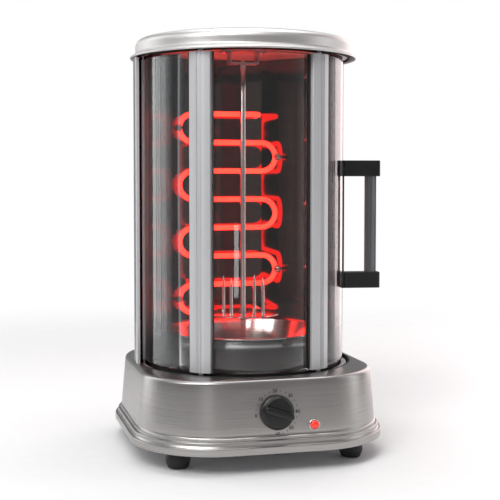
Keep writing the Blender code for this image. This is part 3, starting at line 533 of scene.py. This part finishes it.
def makeBaseCover():
    s = baseCover
    low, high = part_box("base_cover")
    bottom, top = low[2], high[2]
    t, bead = s["sheet"], s["bead"]
    bandTop = bottom + s["bandHeight"]
    stepTop = bandTop + s["stepHeight"]
    wallLow = stepTop + s["flare"]
    wallTop = top - s["shoulder"]
    profile = arc(0.0007, bottom + 0.0007, 0.0007, 270, 180, 3)
    profile += arc(0.0011, bandTop - 0.0011, 0.0011, 180, 90, 5)
    profile += arc(bead - 0.0007, bandTop + 0.0007, 0.0007, 270, 360, 4)
    profile += arc(bead + 0.0013, stepTop - 0.0013, 0.0013, 180, 90, 5)
    profile += [(bead + 0.0026, stepTop + 0.0001)]
    profile += arc(s["lowInset"] - 0.0030, wallLow, 0.0030, 300, 352, 5)
    profile += [(s["lowInset"] + (s["topInset"] - s["lowInset"]) * i / 6,
                 wallLow + 0.001 + (wallTop - wallLow - 0.001) * i / 6) for i in range(6)]
    profile += arc(s["topInset"] + s["shoulder"], wallTop, s["shoulder"], 176, 90, 9)
    rings = [outline(inset, z) for inset, z in profile]
    steps = s["steps"]
    rings += [circle(s["holeRadius"] + 0.0006, top, steps), circle(s["holeRadius"], top - 0.0006, steps),
              circle(s["holeRadius"], top - t, steps)]
    rings += [outline(s["topInset"] + s["shoulder"], top - t), outline(s["topInset"] + t, wallTop),
              outline(s["lowInset"] + t, wallLow), outline(t, bandTop - 0.001), outline(t, bottom)]
    cover = fromRings("baseCoverPressing", rings, finishes["brushed_steel"], closed=True)
    settle(cover, "stand", "brushed_steel", "base_cover")


def makeFeet():
    s = {"soleRound": 0.0035, "belly": 0.0120, "bellyLevel": 0.0100, "neck": 0.80, "neckLength": 0.0045,
         "steps": 56}
    mesh = bmesh.new()
    names = [n for n in nodes if n.startswith("foot_")]
    for name in names:
        low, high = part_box(name)
        middle = Vector(((low[0] + high[0]) / 2, (low[1] + high[1]) / 2))
        radius, top = (high[0] - low[0]) / 2, high[2]
        neck = radius * s["neck"]
        profile = [(radius * 0.25, 0.0006), (radius * 0.56, 0.0)]
        profile += arc(radius * 0.62, s["soleRound"], s["soleRound"], 275, 330, 4)
        profile += arc(radius - s["belly"], s["bellyLevel"], s["belly"], 335, 375, 7)
        profile += [(radius * 0.86, top - 0.0060), (neck, top - s["neckLength"]), (neck, top)]
        skinRings(mesh, [circle(r, z, s["steps"], middle) for r, z in profile], False)
    feet = makeObject("rubberFeet", mesh, finishes["foot_rubber"])
    settle(feet, "stand", "foot_rubber", *names)


def makeBaseScrews():
    s = {"azimuths": (-66, -24, 24, 66, 114, 156, 204, 246), "inset": 0.0085,
         "radius": 0.0034, "rise": 0.0019, "seed": 3}
    low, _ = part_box("base_plate")
    spots = []
    for azimuth in s["azimuths"]:
        angle = math.radians(azimuth - 90)
        reach = outlineReach(angle, s["inset"])
        spot = (spit.x + reach * math.cos(angle), spit.y + reach * math.sin(angle), low[2])
        spots.append((spot, (0, 0, -1)))
    heads("baseScrews", spots, "stand", "screw_steel", s)


def makeTrack():
    s = {"wall": 0.0015, "gap": 0.0003, "inner": 0.1165}
    _, low, top = reachOf("door_track")
    outer = baseCover["holeRadius"] - s["gap"]
    profile = [(outer, low), (outer, top), (outer - s["wall"], top), (outer - s["wall"], low + s["wall"]),
               (s["inner"], low + s["wall"]), (s["inner"], top), (s["inner"] - s["wall"], top),
               (s["inner"] - s["wall"], low)]
    track = turn("doorTrackRing", profile, finishes["track_black"], steps=192)
    settle(track, "stand", "track_black", "door_track")


# control panel

def onPanel(right, up, out=0.0):
    return panelSpot + panelRight * right + panelUp * up + panelOut * out


def panelRing(radius, out, steps, right=0.0, up=0.0):
    return [onPanel(right + radius * math.cos(2 * math.pi * i / steps),
                    up + radius * math.sin(2 * math.pi * i / steps), out) for i in range(steps)]


def makeKnob():
    s = {"radius": 0.0190, "base": 0.0015, "depth": 0.0150, "skirt": 0.0028, "skirtRound": 0.0008,
         "capInset": 0.0042, "capRound": 0.0020, "capHeight": 0.0066,
         "ridgeTurn": -19.0, "ridgeHalf": 0.0042, "ridgeInset": 0.0010, "ridgeRound": 0.0020, "taper": 0.985}
    r, b = s["radius"], s["base"]
    profile = [(r - 0.0006, b)] + arc(r - s["skirtRound"], b + s["skirt"], s["skirtRound"], 0, 50, 4)
    profile += [(r - 0.0016, b + 0.0040)] + arc(r - s["capInset"], b + 0.0042, s["capRound"], 30, 90, 6)
    profile += [(r * 0.4, b + s["capHeight"]), (r * 0.05, b + s["capHeight"] + 0.0001)]
    mesh = bmesh.new()
    skinRings(mesh, [panelRing(radius, out, 96) for radius, out in profile], False)
    spin = math.radians(s["ridgeTurn"])
    length = r - s["ridgeInset"]

    def ridge(shrink, out, narrow):
        # a closed loop round the finger ridge, straighter along its sides than an ellipse
        ring = []
        for i in range(72):
            angle = 2 * math.pi * i / 72
            along = (length - narrow) * math.copysign(abs(math.cos(angle)) ** 0.32, math.cos(angle)) * shrink
            across = (s["ridgeHalf"] - narrow) * math.copysign(abs(math.sin(angle)) ** 0.75, math.sin(angle))
            ring.append(onPanel(along * math.cos(spin) - across * math.sin(spin),
                                along * math.sin(spin) + across * math.cos(spin), out))
        return ring

    top = s["depth"]
    levels = [(1.0, b + 0.003, 0.0), (s["taper"], top - 0.0040, 0.0003)]
    for degrees in (0, 22, 45, 67, 90):
        angle = math.radians(degrees)
        fall = 1 - math.cos(angle)
        levels.append((s["taper"] - 0.06 * fall, top - s["ridgeRound"] + s["ridgeRound"] * math.sin(angle),
                       0.0004 + 0.0016 * fall))
    skinRings(mesh, [ridge(*level) for level in levels], False)
    knob = makeObject("timerKnobCap", mesh, finishes["black_plastic"], 40)
    settle(knob, "timer", "black_plastic", "timer_knob")


def makeLamp():
    s = {"collar": 0.0016, "dome": 0.0026, "seat": -0.004, "bezelOut": 0.0008, "bezelGap": 0.0011,
         "bezelRound": 0.0009}
    low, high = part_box("power_lamp_lens")
    rimLow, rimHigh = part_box("power_lamp_rim")
    right = (low[0] + high[0]) / 2 - panelSpot.x
    up = ((low[2] + high[2]) / 2 - panelSpot.z) / panelUp.z
    up += (rimLow[2] + rimHigh[2] - low[2] - high[2]) / 2
    radius = (high[0] - low[0]) / 2
    dome = [(radius, s["seat"]), (radius, s["collar"])]
    dome += [(radius * math.cos(math.radians(a)), s["collar"] + s["dome"] * math.sin(math.radians(a)))
             for a in (12, 26, 42, 58, 74, 86)]
    lens = fromRings("powerLampDome", [panelRing(r, out, 48, right, up) for r, out in dome],
                     finishes["lamp_red"], angle=60)
    settle(lens, "stand", "lamp_red", "power_lamp_lens")
    rim = arc(radius + s["bezelGap"], s["bezelOut"], s["bezelRound"], 0, 315, 14)
    ring = fromRings("powerLampBezel", [panelRing(r, out, 64, right, up) for r, out in rim],
                     finishes["polished_steel"], closed=True, angle=60)
    settle(ring, "stand", "polished_steel", "power_lamp_rim")


def makeDial():
    s = {"ring": 0.0238, "fontSize": 0.0054, "dot": 0.00062, "lift": 0.00012, "ink": 0.00005, "bold": 0.00010,
         "marks": (("0", 186), ("10", 140), ("20", 94), ("30", 48), ("40", 0), ("50", -47), ("60", -88))}
    mesh = bmesh.new()
    turnIn = Matrix((panelRight, panelUp, panelOut)).transposed().to_4x4()
    for text, angle in s["marks"]:
        curve = bpy.data.curves.new("dialFigure", "FONT")
        curve.body = text
        curve.size = s["fontSize"]
        curve.align_x = "CENTER"
        curve.align_y = "CENTER"
        curve.extrude = s["ink"]
        curve.offset = s["bold"]
        figure = bpy.data.objects.new("dialFigure", curve)
        bpy.context.scene.collection.objects.link(figure)
        bpy.context.view_layer.update()
        plain = bpy.data.meshes.new_from_object(figure.evaluated_get(bpy.context.evaluated_depsgraph_get()))
        way = math.radians(angle)
        spot = onPanel(s["ring"] * math.cos(way), s["ring"] * math.sin(way), s["lift"])
        plain.transform(Matrix.Translation(spot) @ turnIn)
        mesh.from_mesh(plain)
        bpy.data.objects.remove(figure)
        bpy.data.meshes.remove(plain)
    angles = [angle for _, angle in s["marks"]]
    for first, second in zip(angles, angles[1:]):
        for share in (1 / 3, 2 / 3):
            angle = math.radians(first + (second - first) * share)
            centre = (s["ring"] * math.cos(angle), s["ring"] * math.sin(angle))
            dot = [panelRing(s["dot"], out, 14, *centre) for out in (s["ink"], s["lift"] + s["ink"])]
            skinRings(mesh, dot, False)
    data = bpy.data.meshes.new("dialPrint")
    mesh.to_mesh(data)
    mesh.free()
    data.materials.append(ink)
    dial = bpy.data.objects.new("dialPrint", data)
    bpy.context.scene.collection.objects.link(dial)
    settle(dial, "stand", "black_plastic")


# spit, tray and floor

def makeTray():
    radius, low, _ = reachOf("drip_tray")
    s = {"depth": 0.0385, "floor": 0.0850, "sheet": 0.0011, "boss": 0.0218, "hole": 0.0096, "roll": 0.0012}
    rim, base, t, roll = low + s["depth"], s["floor"], s["sheet"], s["roll"]
    outer = arc(base - 0.004, low + 0.004, 0.004, 270, 338, 5)
    outer += [(radius - 0.0042, rim - 0.0034)]
    outer += arc(radius - roll, rim - 0.0004, roll, 250, 450, 10)
    outer += [(radius - 0.0050, rim - 0.0012)]
    outer += arc(base - 0.008, low + 0.0085, 0.0072, 340, 270, 7)
    outer += [(0.034, low + t)] + arc(0.028, low + 0.0075, 0.0064, 270, 225, 4)
    outer += [(s["hole"] + 0.0018, low + s["boss"] - 0.0012), (s["hole"] + 0.0006, low + s["boss"]),
              (s["hole"], low + s["boss"] - 0.0006), (s["hole"], low + s["boss"] - 0.003),
              (0.0180, low + 0.0040), (0.030, low)]
    tray = turn("dripTrayDish", outer, finishes["polished_steel"], steps=192)
    settle(tray, "tray", "polished_steel", "drip_tray")


def makeSpit():
    radius, _, top = reachOf("spit_rod")
    low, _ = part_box("spit_rod")
    s = {"tip": 0.0060, "squareTop": 0.1275, "boreGap": 0.0003}
    profile = [(radius * 0.80, low[2]), (radius * 0.80, s["squareTop"] - 0.001), (radius, s["squareTop"])]
    profile += [(radius, top - s["tip"]), (radius * 0.82, top - s["tip"] * 0.55),
                (radius * 0.45, top - 0.0012), (radius * 0.12, top)]
    rod = turn("spitSpindle", profile, finishes["polished_steel"], steps=40, closed=False)
    settle(rod, "spit", "polished_steel", "spit_rod")

    reach, discLow, prongTop = reachOf("spit_disc")
    d = {"hub": 0.0080, "hubDepth": 0.0060, "plate": 0.0020, "circle": 0.62, "prong": 0.0022,
         "azimuths": (45, 135, 225, 315)}
    z = discLow + d["hubDepth"]
    bore = radius + s["boreGap"]
    profile = [(bore, discLow), (d["hub"] - 0.0006, discLow), (d["hub"], discLow + 0.0006), (d["hub"], z)]
    profile += arc(reach - 0.001, z + 0.001, 0.001, 270, 450, 8)
    profile += [(bore, z + d["plate"])]
    mesh = bmesh.new()
    skinRings(mesh, [circle(r, h, 96) for r, h in profile], True)
    for azimuth in d["azimuths"]:
        spot = polar(reach * d["circle"], azimuth).xy
        shank = [(d["prong"] * 1.5, z + 0.0015), (d["prong"] * 1.2, z + 0.0028), (d["prong"], z + 0.0045),
                 (d["prong"] * 0.9, prongTop - 0.010), (d["prong"] * 0.45, prongTop - 0.003),
                 (0.0001, prongTop)]
        skinRings(mesh, [circle(r, h, 20, spot) for r, h in shank], False)
    disc = makeObject("spitDiscPronged", mesh, finishes["polished_steel"])
    settle(disc, "spit", "polished_steel", "spit_disc")


def makeFloor():
    s = {"hole": 0.009, "edge": 0.0004}
    edge, low, high = reachOf("floor_plate")
    hole, e = s["hole"], s["edge"]
    profile = [(hole, low), (edge, low), (edge, high - e), (edge - e, high),
               (hole + e, high), (hole, high - e)]
    plate = turn("floorPlateDisc", profile, finishes["dark_steel"], steps=144)
    settle(plate, "stand", "dark_steel", "floor_plate")
    reach, low, high = reachOf("ceiling_plate")
    profile = [(0.0005, low), (reach, low), (reach, high), (0.0005, high)]
    # the ceiling disc wears the finish with the painted red glow
    ceiling = turn("ceilingDisc", profile, finishes["ceiling_painted_glow"], steps=144, closed=False)
    settle(ceiling, "stand", "dark_steel", "ceiling_plate")


# rear housing, reflector and element

housing = {
    "inner": 0.1310, "sheet": 0.0015, "left": 273.5, "right": 106.0,
    "rivets": 5, "rivetInset": 30.0, "rivetLow": 0.045, "rivetMargin": 0.080,
    "insideHeads": {"radius": 0.0024, "rise": 0.0011, "seed": 5},
    "outsideHeads": {"radius": 0.0032, "rise": 0.0014, "seed": 6},
}


def makeHousing():
    s = housing
    low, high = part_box("housing_shell")
    inner, outer = s["inner"], s["inner"] + s["sheet"]
    section = [(inner, low[2]), (outer, low[2]), (outer, high[2]), (inner, high[2])]
    shell = sector("rearHousingShell", section, s["right"], s["left"], 150, finishes["brushed_steel"])
    settle(shell, "stand", "brushed_steel", "housing_shell")
    inside, outside = [], []
    for azimuth in (s["left"] - s["rivetInset"], s["right"] + s["rivetInset"]):
        way = polar(1, azimuth) - polar(0, azimuth)
        for i in range(s["rivets"]):
            z = low[2] + s["rivetLow"] + (high[2] - low[2] - s["rivetMargin"]) * i / (s["rivets"] - 1)
            inside.append((polar(inner, azimuth, z), -way))
            outside.append((polar(outer, azimuth, z), way))
    heads("housingRivetsInside", inside, "stand", "screw_steel", s["insideHeads"])
    heads("housingRivetsOutside", outside, "stand", "screw_steel", s["outsideHeads"])


def makeLinerScrews():
    s = {"liner": 0.1140, "back": 27.0, "span": 40.0, "sheet": 0.0012, "along": 0.028,
         "levels": (0.128, 0.208, 0.290, 0.372, 0.452), "radius": 0.0026, "rise": 0.0014, "seed": 8}
    face = s["liner"] * math.cos(math.radians(s["span"] / 2)) - s["sheet"]
    spots = []
    for side in (-1, 1):
        azimuth = 180 + side * (s["back"] + s["span"] / 2)
        way = polar(0, azimuth) - polar(1, azimuth)
        for z in s["levels"]:
            spots.append((besideWall(side * s["along"], face, azimuth, z), way))
    heads("reflectorScrews", spots, "stand", "screw_steel", s)


def makeElement():
    low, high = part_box("heating_element")
    s = {"tube": 0.00325, "limbs": 8, "endInset": 0.0240, "corner": 0.008}
    half = (high[0] - low[0]) / 2
    bottom, top = low[2] + s["tube"], high[2] - s["tube"]
    pitch = (top - bottom) / (s["limbs"] - 1)
    y = low[1] + s["tube"]
    bend = pitch / 2
    straight = half - s["tube"] - bend
    endX = half - s["endInset"]
    corner = s["corner"]

    def leadIn(z):
        lead = [Vector((endX, high[1] - spit.y, z))]
        for i in range(7):
            angle = math.radians(15 * i)
            lead.append(Vector((endX - corner * (1 - math.cos(angle)),
                                y - spit.y + corner - corner * math.sin(angle), z)))
        return lead

    points = leadIn(top)
    for limb in range(s["limbs"] - 1):
        side = -1 if limb % 2 == 0 else 1
        z = top - pitch * limb
        for i in range(13):
            angle = math.radians(90 - 15 * i)
            points.append(Vector((side * (straight + bend * math.cos(angle)), y - spit.y,
                                  z - bend + bend * math.sin(angle))))
    points += leadIn(bottom)[::-1]
    curve = bpy.data.curves.new("elementTube", "CURVE")
    curve.dimensions = "3D"
    curve.bevel_depth = s["tube"]
    curve.bevel_resolution = 5
    curve.use_fill_caps = True
    spline = curve.splines.new("POLY")
    spline.points.add(len(points) - 1)
    for point, place in zip(spline.points, points):
        point.co = (place.x + spit.x, place.y + spit.y, place.z, 1.0)
    carrier = bpy.data.objects.new("elementTube", curve)
    bpy.context.scene.collection.objects.link(carrier)
    bpy.context.view_layer.update()
    mesh = bpy.data.meshes.new_from_object(carrier.evaluated_get(bpy.context.evaluated_depsgraph_get()))
    bpy.data.objects.remove(carrier)
    shaped = bmesh.new()
    shaped.from_mesh(mesh)
    tube = makeObject("heatingTube", shaped, finishes["hot_element"], 60)
    settle(tube, "stand", "hot_element", "heating_element")


def makeClips():
    # a threaded stud with a washer in each of the reflector's four clips
    s = {"radius": 0.0022, "washer": 0.0048, "sheet": 0.0012, "pitch": 0.0008, "thread": 0.0003,
         "side": 47.0, "tip": 0.0032, "steps": 28}
    for name in (n for n in nodes if n.startswith("element_clip")):
        points = [vertex.co for vertex in nodes[name].data.vertices]
        way = -1 if name.endswith("left") else 1
        azimuth = math.radians(180 - way * s["side"])
        out = Vector((math.sin(azimuth), -math.cos(azimuth), 0))
        centre = sum(points, Vector()) / len(points)
        reaches = [(point - centre).dot(out) for point in points]
        foot = centre + out * max(reaches)
        length = max(reaches) - min(reaches)
        washer = length - s["tip"]
        profile, depth = [], 0.0
        while depth < washer - s["pitch"]:
            profile += [(s["radius"], depth), (s["radius"] - s["thread"], depth + s["pitch"] / 2)]
            depth += s["pitch"]
        profile += [(s["radius"], washer), (s["washer"], washer), (s["washer"], washer + s["sheet"]),
                    (s["radius"], washer + s["sheet"]), (s["radius"], length - 0.0005),
                    (s["radius"] * 0.7, length)]
        turnTo = Vector((0, 0, 1)).rotation_difference(-out)
        angles = [2 * math.pi * i / s["steps"] for i in range(s["steps"])]
        rings = [[foot + turnTo @ Vector((r * math.cos(a), r * math.sin(a), d)) for a in angles]
                 for r, d in profile]
        clip = fromRings("stud_" + name, rings, finishes["screw_steel"])
        settle(clip, "stand", "dark_steel", name)


# lid

def makeLid():
    lip, low, high = reachOf("lid_cover")
    s = {"wall": 0.1300, "sheet": 0.0012, "wallTop": 0.0142, "edge": 0.0100, "roll": 0.0012,
         "flare": 0.0042, "flareLevel": 0.0078, "centre": 0.0008, "crownSteps": 12, "crownFall": 2.2}
    r, t, roll = s["wall"], s["sheet"], s["roll"]
    wallTop = low + s["wallTop"]
    edge = s["edge"]
    outer = arc(lip - roll, low + roll, roll, 250, 430, 10)
    outer += [(lip - 0.0026, low + 0.0030)]
    outer += arc(r + s["flare"], low + s["flareLevel"], s["flare"], 262, 180, 8)
    flatStart = len(outer) + 6     # the inner skin follows the outer one from here to the centre
    outer += [(r, wallTop - 0.002)] + arc(r - edge, wallTop - 0.0008, edge, 0, 82, 14)
    crownFoot = outer[-1]
    for i in range(1, s["crownSteps"] + 1):
        share = i / s["crownSteps"]
        outer.append((crownFoot[0] * (1 - share) + s["centre"] * share,
                      crownFoot[1] + (high - crownFoot[1]) * (1 - (1 - share) ** s["crownFall"])))
    inner = [(s["centre"], high - t)]
    inner += [(x - t * 0.5, z - t) for x, z in outer[-2:flatStart - 1:-1]]
    inner += [(r - t, wallTop - 0.004), (r - t, low + 0.0090), (r + 0.0012, low + 0.0050),
              (lip - 0.0034, low + 0.0020)]
    # the lid wears the lighter copy of the brushed steel, with painted light
    lid = turn("lidPressing", outer[::-1] + inner[::-1], finishes["lid_steel_painted_light"], steps=224, closed=False,
               angle=50)
    settle(lid, "stand", "brushed_steel", "lid_cover")


# door

door = {
    "glassInner": 0.1182, "glassOuter": 0.1212, "glassEdge": 0.0005, "glassSteps": 84,
    "leftPost": -37.0, "rightPost": 30.0, "postWidth": 0.0260, "postOuter": 0.1290, "postInner": 0.1156,
    "groove": 0.0040, "seatGap": 0.0003,
}


def makePosts():
    s = door
    low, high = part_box("door_post_left")
    half, out = s["postWidth"] / 2, s["postOuter"]
    deep, gap = half - s["groove"], s["seatGap"]

    def seat(radius, along, clearance):
        return math.sqrt(radius ** 2 - along ** 2) + clearance

    right = [(half - 0.0005, s["postInner"]), (half, s["postInner"] + 0.0004),
             (half, seat(s["glassInner"], half, -gap)), (deep, seat(s["glassInner"], deep, -gap)),
             (deep, seat(s["glassOuter"], deep, gap)), (half, seat(s["glassOuter"], half, gap))]
    right += arc(half - 0.0016, out - 0.0040, 0.0016, 0, 68, 5)
    right += [(0.0030, out - 0.0001), (0.0027, out - 0.0003), (0.0026, out - 0.0010), (0.0017, out - 0.0010),
              (0.0016, out - 0.0003), (0.0008, out - 0.0003), (0.0007, out - 0.0010)]
    section = right + [(-along, reach) for along, reach in reversed(right)]
    for name, azimuth in (("door_post_left", s["leftPost"]), ("door_post_right", s["rightPost"])):
        rings = [[besideWall(along, reach, azimuth, z) for along, reach in section]
                 for z in (low[2], high[2])]
        post = fromRings("extrusion_" + name, rings, finishes["aluminium"], angle=22)
        settle(post, "door", "aluminium", name)


def paneEnds(node):
    # azimuths of a curved pane's two ends, read from its own corners
    angles = []
    for vertex in nodes[node].data.vertices:
        offset = vertex.co.xy - spit
        angles.append(math.degrees(math.atan2(offset.x, -offset.y)))
    return min(angles), max(angles)


def makeGlass():
    s = door
    for node in ("glass_left", "glass_front", "glass_right"):
        low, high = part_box(node)
        start, end = paneEnds(node)
        a, b, e = s["glassInner"], s["glassOuter"], s["glassEdge"]
        section = [(a, low[2] + e), (a + e, low[2]), (b - e, low[2]), (b, low[2] + e),
                   (b, high[2] - e), (b - e, high[2]), (a + e, high[2]), (a, high[2] - e)]
        pane = sector("pane_" + node, section, start, end, s["glassSteps"], finishes["door_glass"])
        settle(pane, "door", "door_glass", node)


# handle

def makeHandle():
    low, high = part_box("handle_grip")
    s = {"azimuth": 81.5, "inner": 0.1495, "outer": 0.1665, "width": 0.0170, "flutes": 22, "flute": 0.00045,
         "fluteSteps": 8, "squareness": 0.6, "endEdge": 0.0004, "start": 0.1240, "reach": 0.1690,
         "corner": 0.0030, "blockEdge": 0.0009}
    middle = (s["inner"] + s["outer"]) / 2
    halfOut = (s["outer"] - s["inner"]) / 2 - 0.0015
    halfAlong = s["width"] / 2 - 0.0030
    steps = s["flutes"] * s["fluteSteps"]

    def squared(value):
        return math.copysign(abs(value) ** s["squareness"], value)

    def section(shrink):
        points = []
        for i in range(steps):
            angle = 2 * math.pi * i / steps
            cut = s["flute"] * (0.5 + 0.5 * math.cos(i * 2 * math.pi / s["fluteSteps"])) ** 0.6 + shrink
            points.append(((halfAlong - cut) * squared(math.cos(angle)),
                           middle + (halfOut - cut) * squared(math.sin(angle))))
        return points

    e = s["endEdge"]
    rings = [[besideWall(along, out, s["azimuth"], z) for along, out in section(shrink)]
             for z, shrink in ((low[2], e), (low[2] + e, 0.0), (high[2] - e, 0.0), (high[2], e))]
    grip = fromRings("handleGripBar", rings, finishes["grip_aluminium"], angle=28)
    settle(grip, "door", "grip_aluminium", "handle_grip")

    half, c = s["width"] / 2, s["corner"]
    for name in ("handle_block_lower", "handle_block_upper"):
        blockLow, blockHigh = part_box(name)
        corners = [(-half, s["start"]), (half, s["start"])]
        corners += [(half - c + x, s["reach"] - c + y) for x, y in arc(0, 0, c, 0, 90, 6)]
        corners += [(-half + c - x, s["reach"] - c + y) for x, y in arc(0, 0, c, 90, 0, 6)]
        rings = [[besideWall(along, out, s["azimuth"], z) for along, out in corners]
                 for z in (blockLow[2], blockHigh[2])]
        block = fromRings("moulded_" + name, rings, finishes["black_plastic"], angle=35)
        bevelled(block, s["blockEdge"])
        settle(block, "door", "black_plastic", name)


# every carried node gets its finish

def finishNodes():
    slots = {entry["node"]: entry["material_slot"] for entry in frame["record"]["subparts"]}
    for name, node in nodes.items():
        slot = slots[name]
        # the reflector liner takes the painted-shade finish instead of its slot's steel
        chosen = finishes["liner_painted_shade"] if name == "reflector_liner" else finishes[slot]
        node.data.materials.clear()
        node.data.materials.append(chosen)


finishNodes()
makeBaseCover()
makeFeet()
makeBaseScrews()
makeTrack()
print("base made")
makeKnob()
makeLamp()
makeDial()
print("control panel made")
makeTray()
makeSpit()
makeFloor()
print("spit and tray made")
makeHousing()
makeLinerScrews()
makeElement()
makeClips()
makeLid()
print("housing, element and lid made")
makePosts()
makeGlass()
makeHandle()
print("door made")


# studio

def makeFloorPlane():
    s = {"radius": 2.4, "fadeStart": 0.35, "fadeEnd": 1.5}
    mesh = bmesh.new()
    bmesh.ops.create_circle(mesh, cap_ends=True, segments=96, radius=s["radius"])
    finish = Finish("tableTop", Roughness=0.55, Specular_IOR_Level=0.25)
    spot = finish.add("ShaderNodeTexCoord", {}, {}, "Object")
    length = finish.add("ShaderNodeVectorMath", {"operation": "LENGTH"}, {0: spot}, "Value")
    grain = finish.noise(60.0, 2.0)
    finish.use(Base_Color=finish.blend(grain, rgba(0.86), rgba(0.90)),
               Alpha=length.between(s["fadeStart"], s["fadeEnd"], 1.0, 0.0))
    plane = makeObject("tableTop", mesh, finish.material)


def softbox(name, spot, aim, width, height, power, tone=(1, 1, 1)):
    light = bpy.data.lights.new(name, "AREA")
    light.shape = "RECTANGLE"
    light.size = width
    light.size_y = height
    light.energy = power
    light.color = tone
    lamp = bpy.data.objects.new(name, light)
    lamp.location = spot
    lamp.rotation_euler = (Vector(aim) - Vector(spot)).to_track_quat("-Z", "Y").to_euler()
    bpy.context.scene.collection.objects.link(lamp)


def polarSpot(azimuth, reach, z):
    angle = math.radians(azimuth)
    return (reach * math.sin(angle), -reach * math.cos(angle), z)


softboxes = (     # name, place, target, width, height, power and sometimes a tint
    ("backLeftStrip0", polarSpot(-131, 1.35, 0.55), (0, 0, 0.35), 0.20, 1.6, 3.4),
    ("backLeftStrip1", polarSpot(-122, 1.35, 0.55), (0, 0, 0.35), 0.20, 1.6, 2.0),
    ("backLeftStrip2", polarSpot(-112, 1.35, 0.55), (0, 0, 0.35), 0.22, 1.6, 1.0),
    ("backRightStrip", polarSpot(127, 1.35, 0.50), (0, 0, 0.30), 0.78, 1.5, 9.0, (1.0, 0.84, 0.84)),
    ("frontStrip", polarSpot(-22, 1.9, 0.09), (0, 0, 0.08), 0.16, 0.2, 0.30),
    ("sideRight", polarSpot(76, 1.6, 0.60), (0, 0, 0.30), 0.36, 1.4, 4.0),
    ("sideLeft", polarSpot(-60, 1.7, 1.00), (0, 0, 0.20), 0.40, 0.6, 4.0),
    ("keyHigh", (-0.9, -1.2, 1.7), (0, 0, 0.20), 1.0, 1.0, 24),
    ("topBox", (0.1, 0.1, 1.9), (0, 0, 0.3), 1.5, 1.2, 17),
)


def makeWorld():
    s = {"front": (0.26, 0.25, 0.25), "back": (0.26, 0.26, 0.27), "fadeStart": -0.55, "fadeEnd": 0.45}
    world = bpy.data.worlds.new("paleStudio")
    world.use_nodes = True
    tree = world.node_tree
    ground = tree.nodes["Background"]
    spot = tree.nodes.new("ShaderNodeTexCoord")
    split = tree.nodes.new("ShaderNodeSeparateXYZ")
    reach = tree.nodes.new("ShaderNodeMapRange")
    ramp = tree.nodes.new("ShaderNodeMix")
    ramp.data_type = "RGBA"
    reach.interpolation_type = "SMOOTHSTEP"
    reach.inputs["From Min"].default_value = s["fadeStart"]
    reach.inputs["From Max"].default_value = s["fadeEnd"]
    ramp.inputs[6].default_value = rgba(*s["front"])
    ramp.inputs[7].default_value = rgba(*s["back"])
    tree.links.new(spot.outputs["Generated"], split.inputs[0])
    tree.links.new(split.outputs["Y"], reach.inputs["Value"])
    tree.links.new(reach.outputs[0], ramp.inputs[0])
    # the backdrop shows white, and lights the room more softly
    seen = tree.nodes.new("ShaderNodeLightPath")
    paper = tree.nodes.new("ShaderNodeMix")
    paper.data_type = "RGBA"
    paper.inputs[7].default_value = rgba(1.0)
    tree.links.new(seen.outputs["Is Camera Ray"], paper.inputs[0])
    tree.links.new(ramp.outputs[2], paper.inputs[6])
    tree.links.new(paper.outputs[2], ground.inputs["Color"])
    ground.inputs["Strength"].default_value = 1.0
    bpy.context.scene.world = world


def makeCamera():
    s = {"azimuth": 14.5, "distance": 1.33, "height": 0.325, "pitch": 2.8, "lens": 78.5,
         "shiftX": 0.014, "shiftY": -0.0414}
    angle = math.radians(s["azimuth"])
    camera = bpy.data.cameras.new("studioCamera")
    camera.lens = s["lens"]
    camera.sensor_width = 36
    camera.shift_x = s["shiftX"]
    camera.shift_y = s["shiftY"]
    camera.clip_start = 0.05
    tripod = bpy.data.objects.new("studioCamera", camera)
    tripod.location = (spit.x - math.sin(angle) * s["distance"], spit.y - math.cos(angle) * s["distance"],
                       s["height"])
    tripod.rotation_euler = (math.radians(90 - s["pitch"]), 0, -angle)
    bpy.context.scene.collection.objects.link(tripod)
    bpy.context.scene.camera = tripod


makeFloorPlane()
for light in softboxes:
    softbox(*light)
makeWorld()
makeCamera()
bpy.context.scene.view_settings.view_transform = "Standard"
print("studio made")
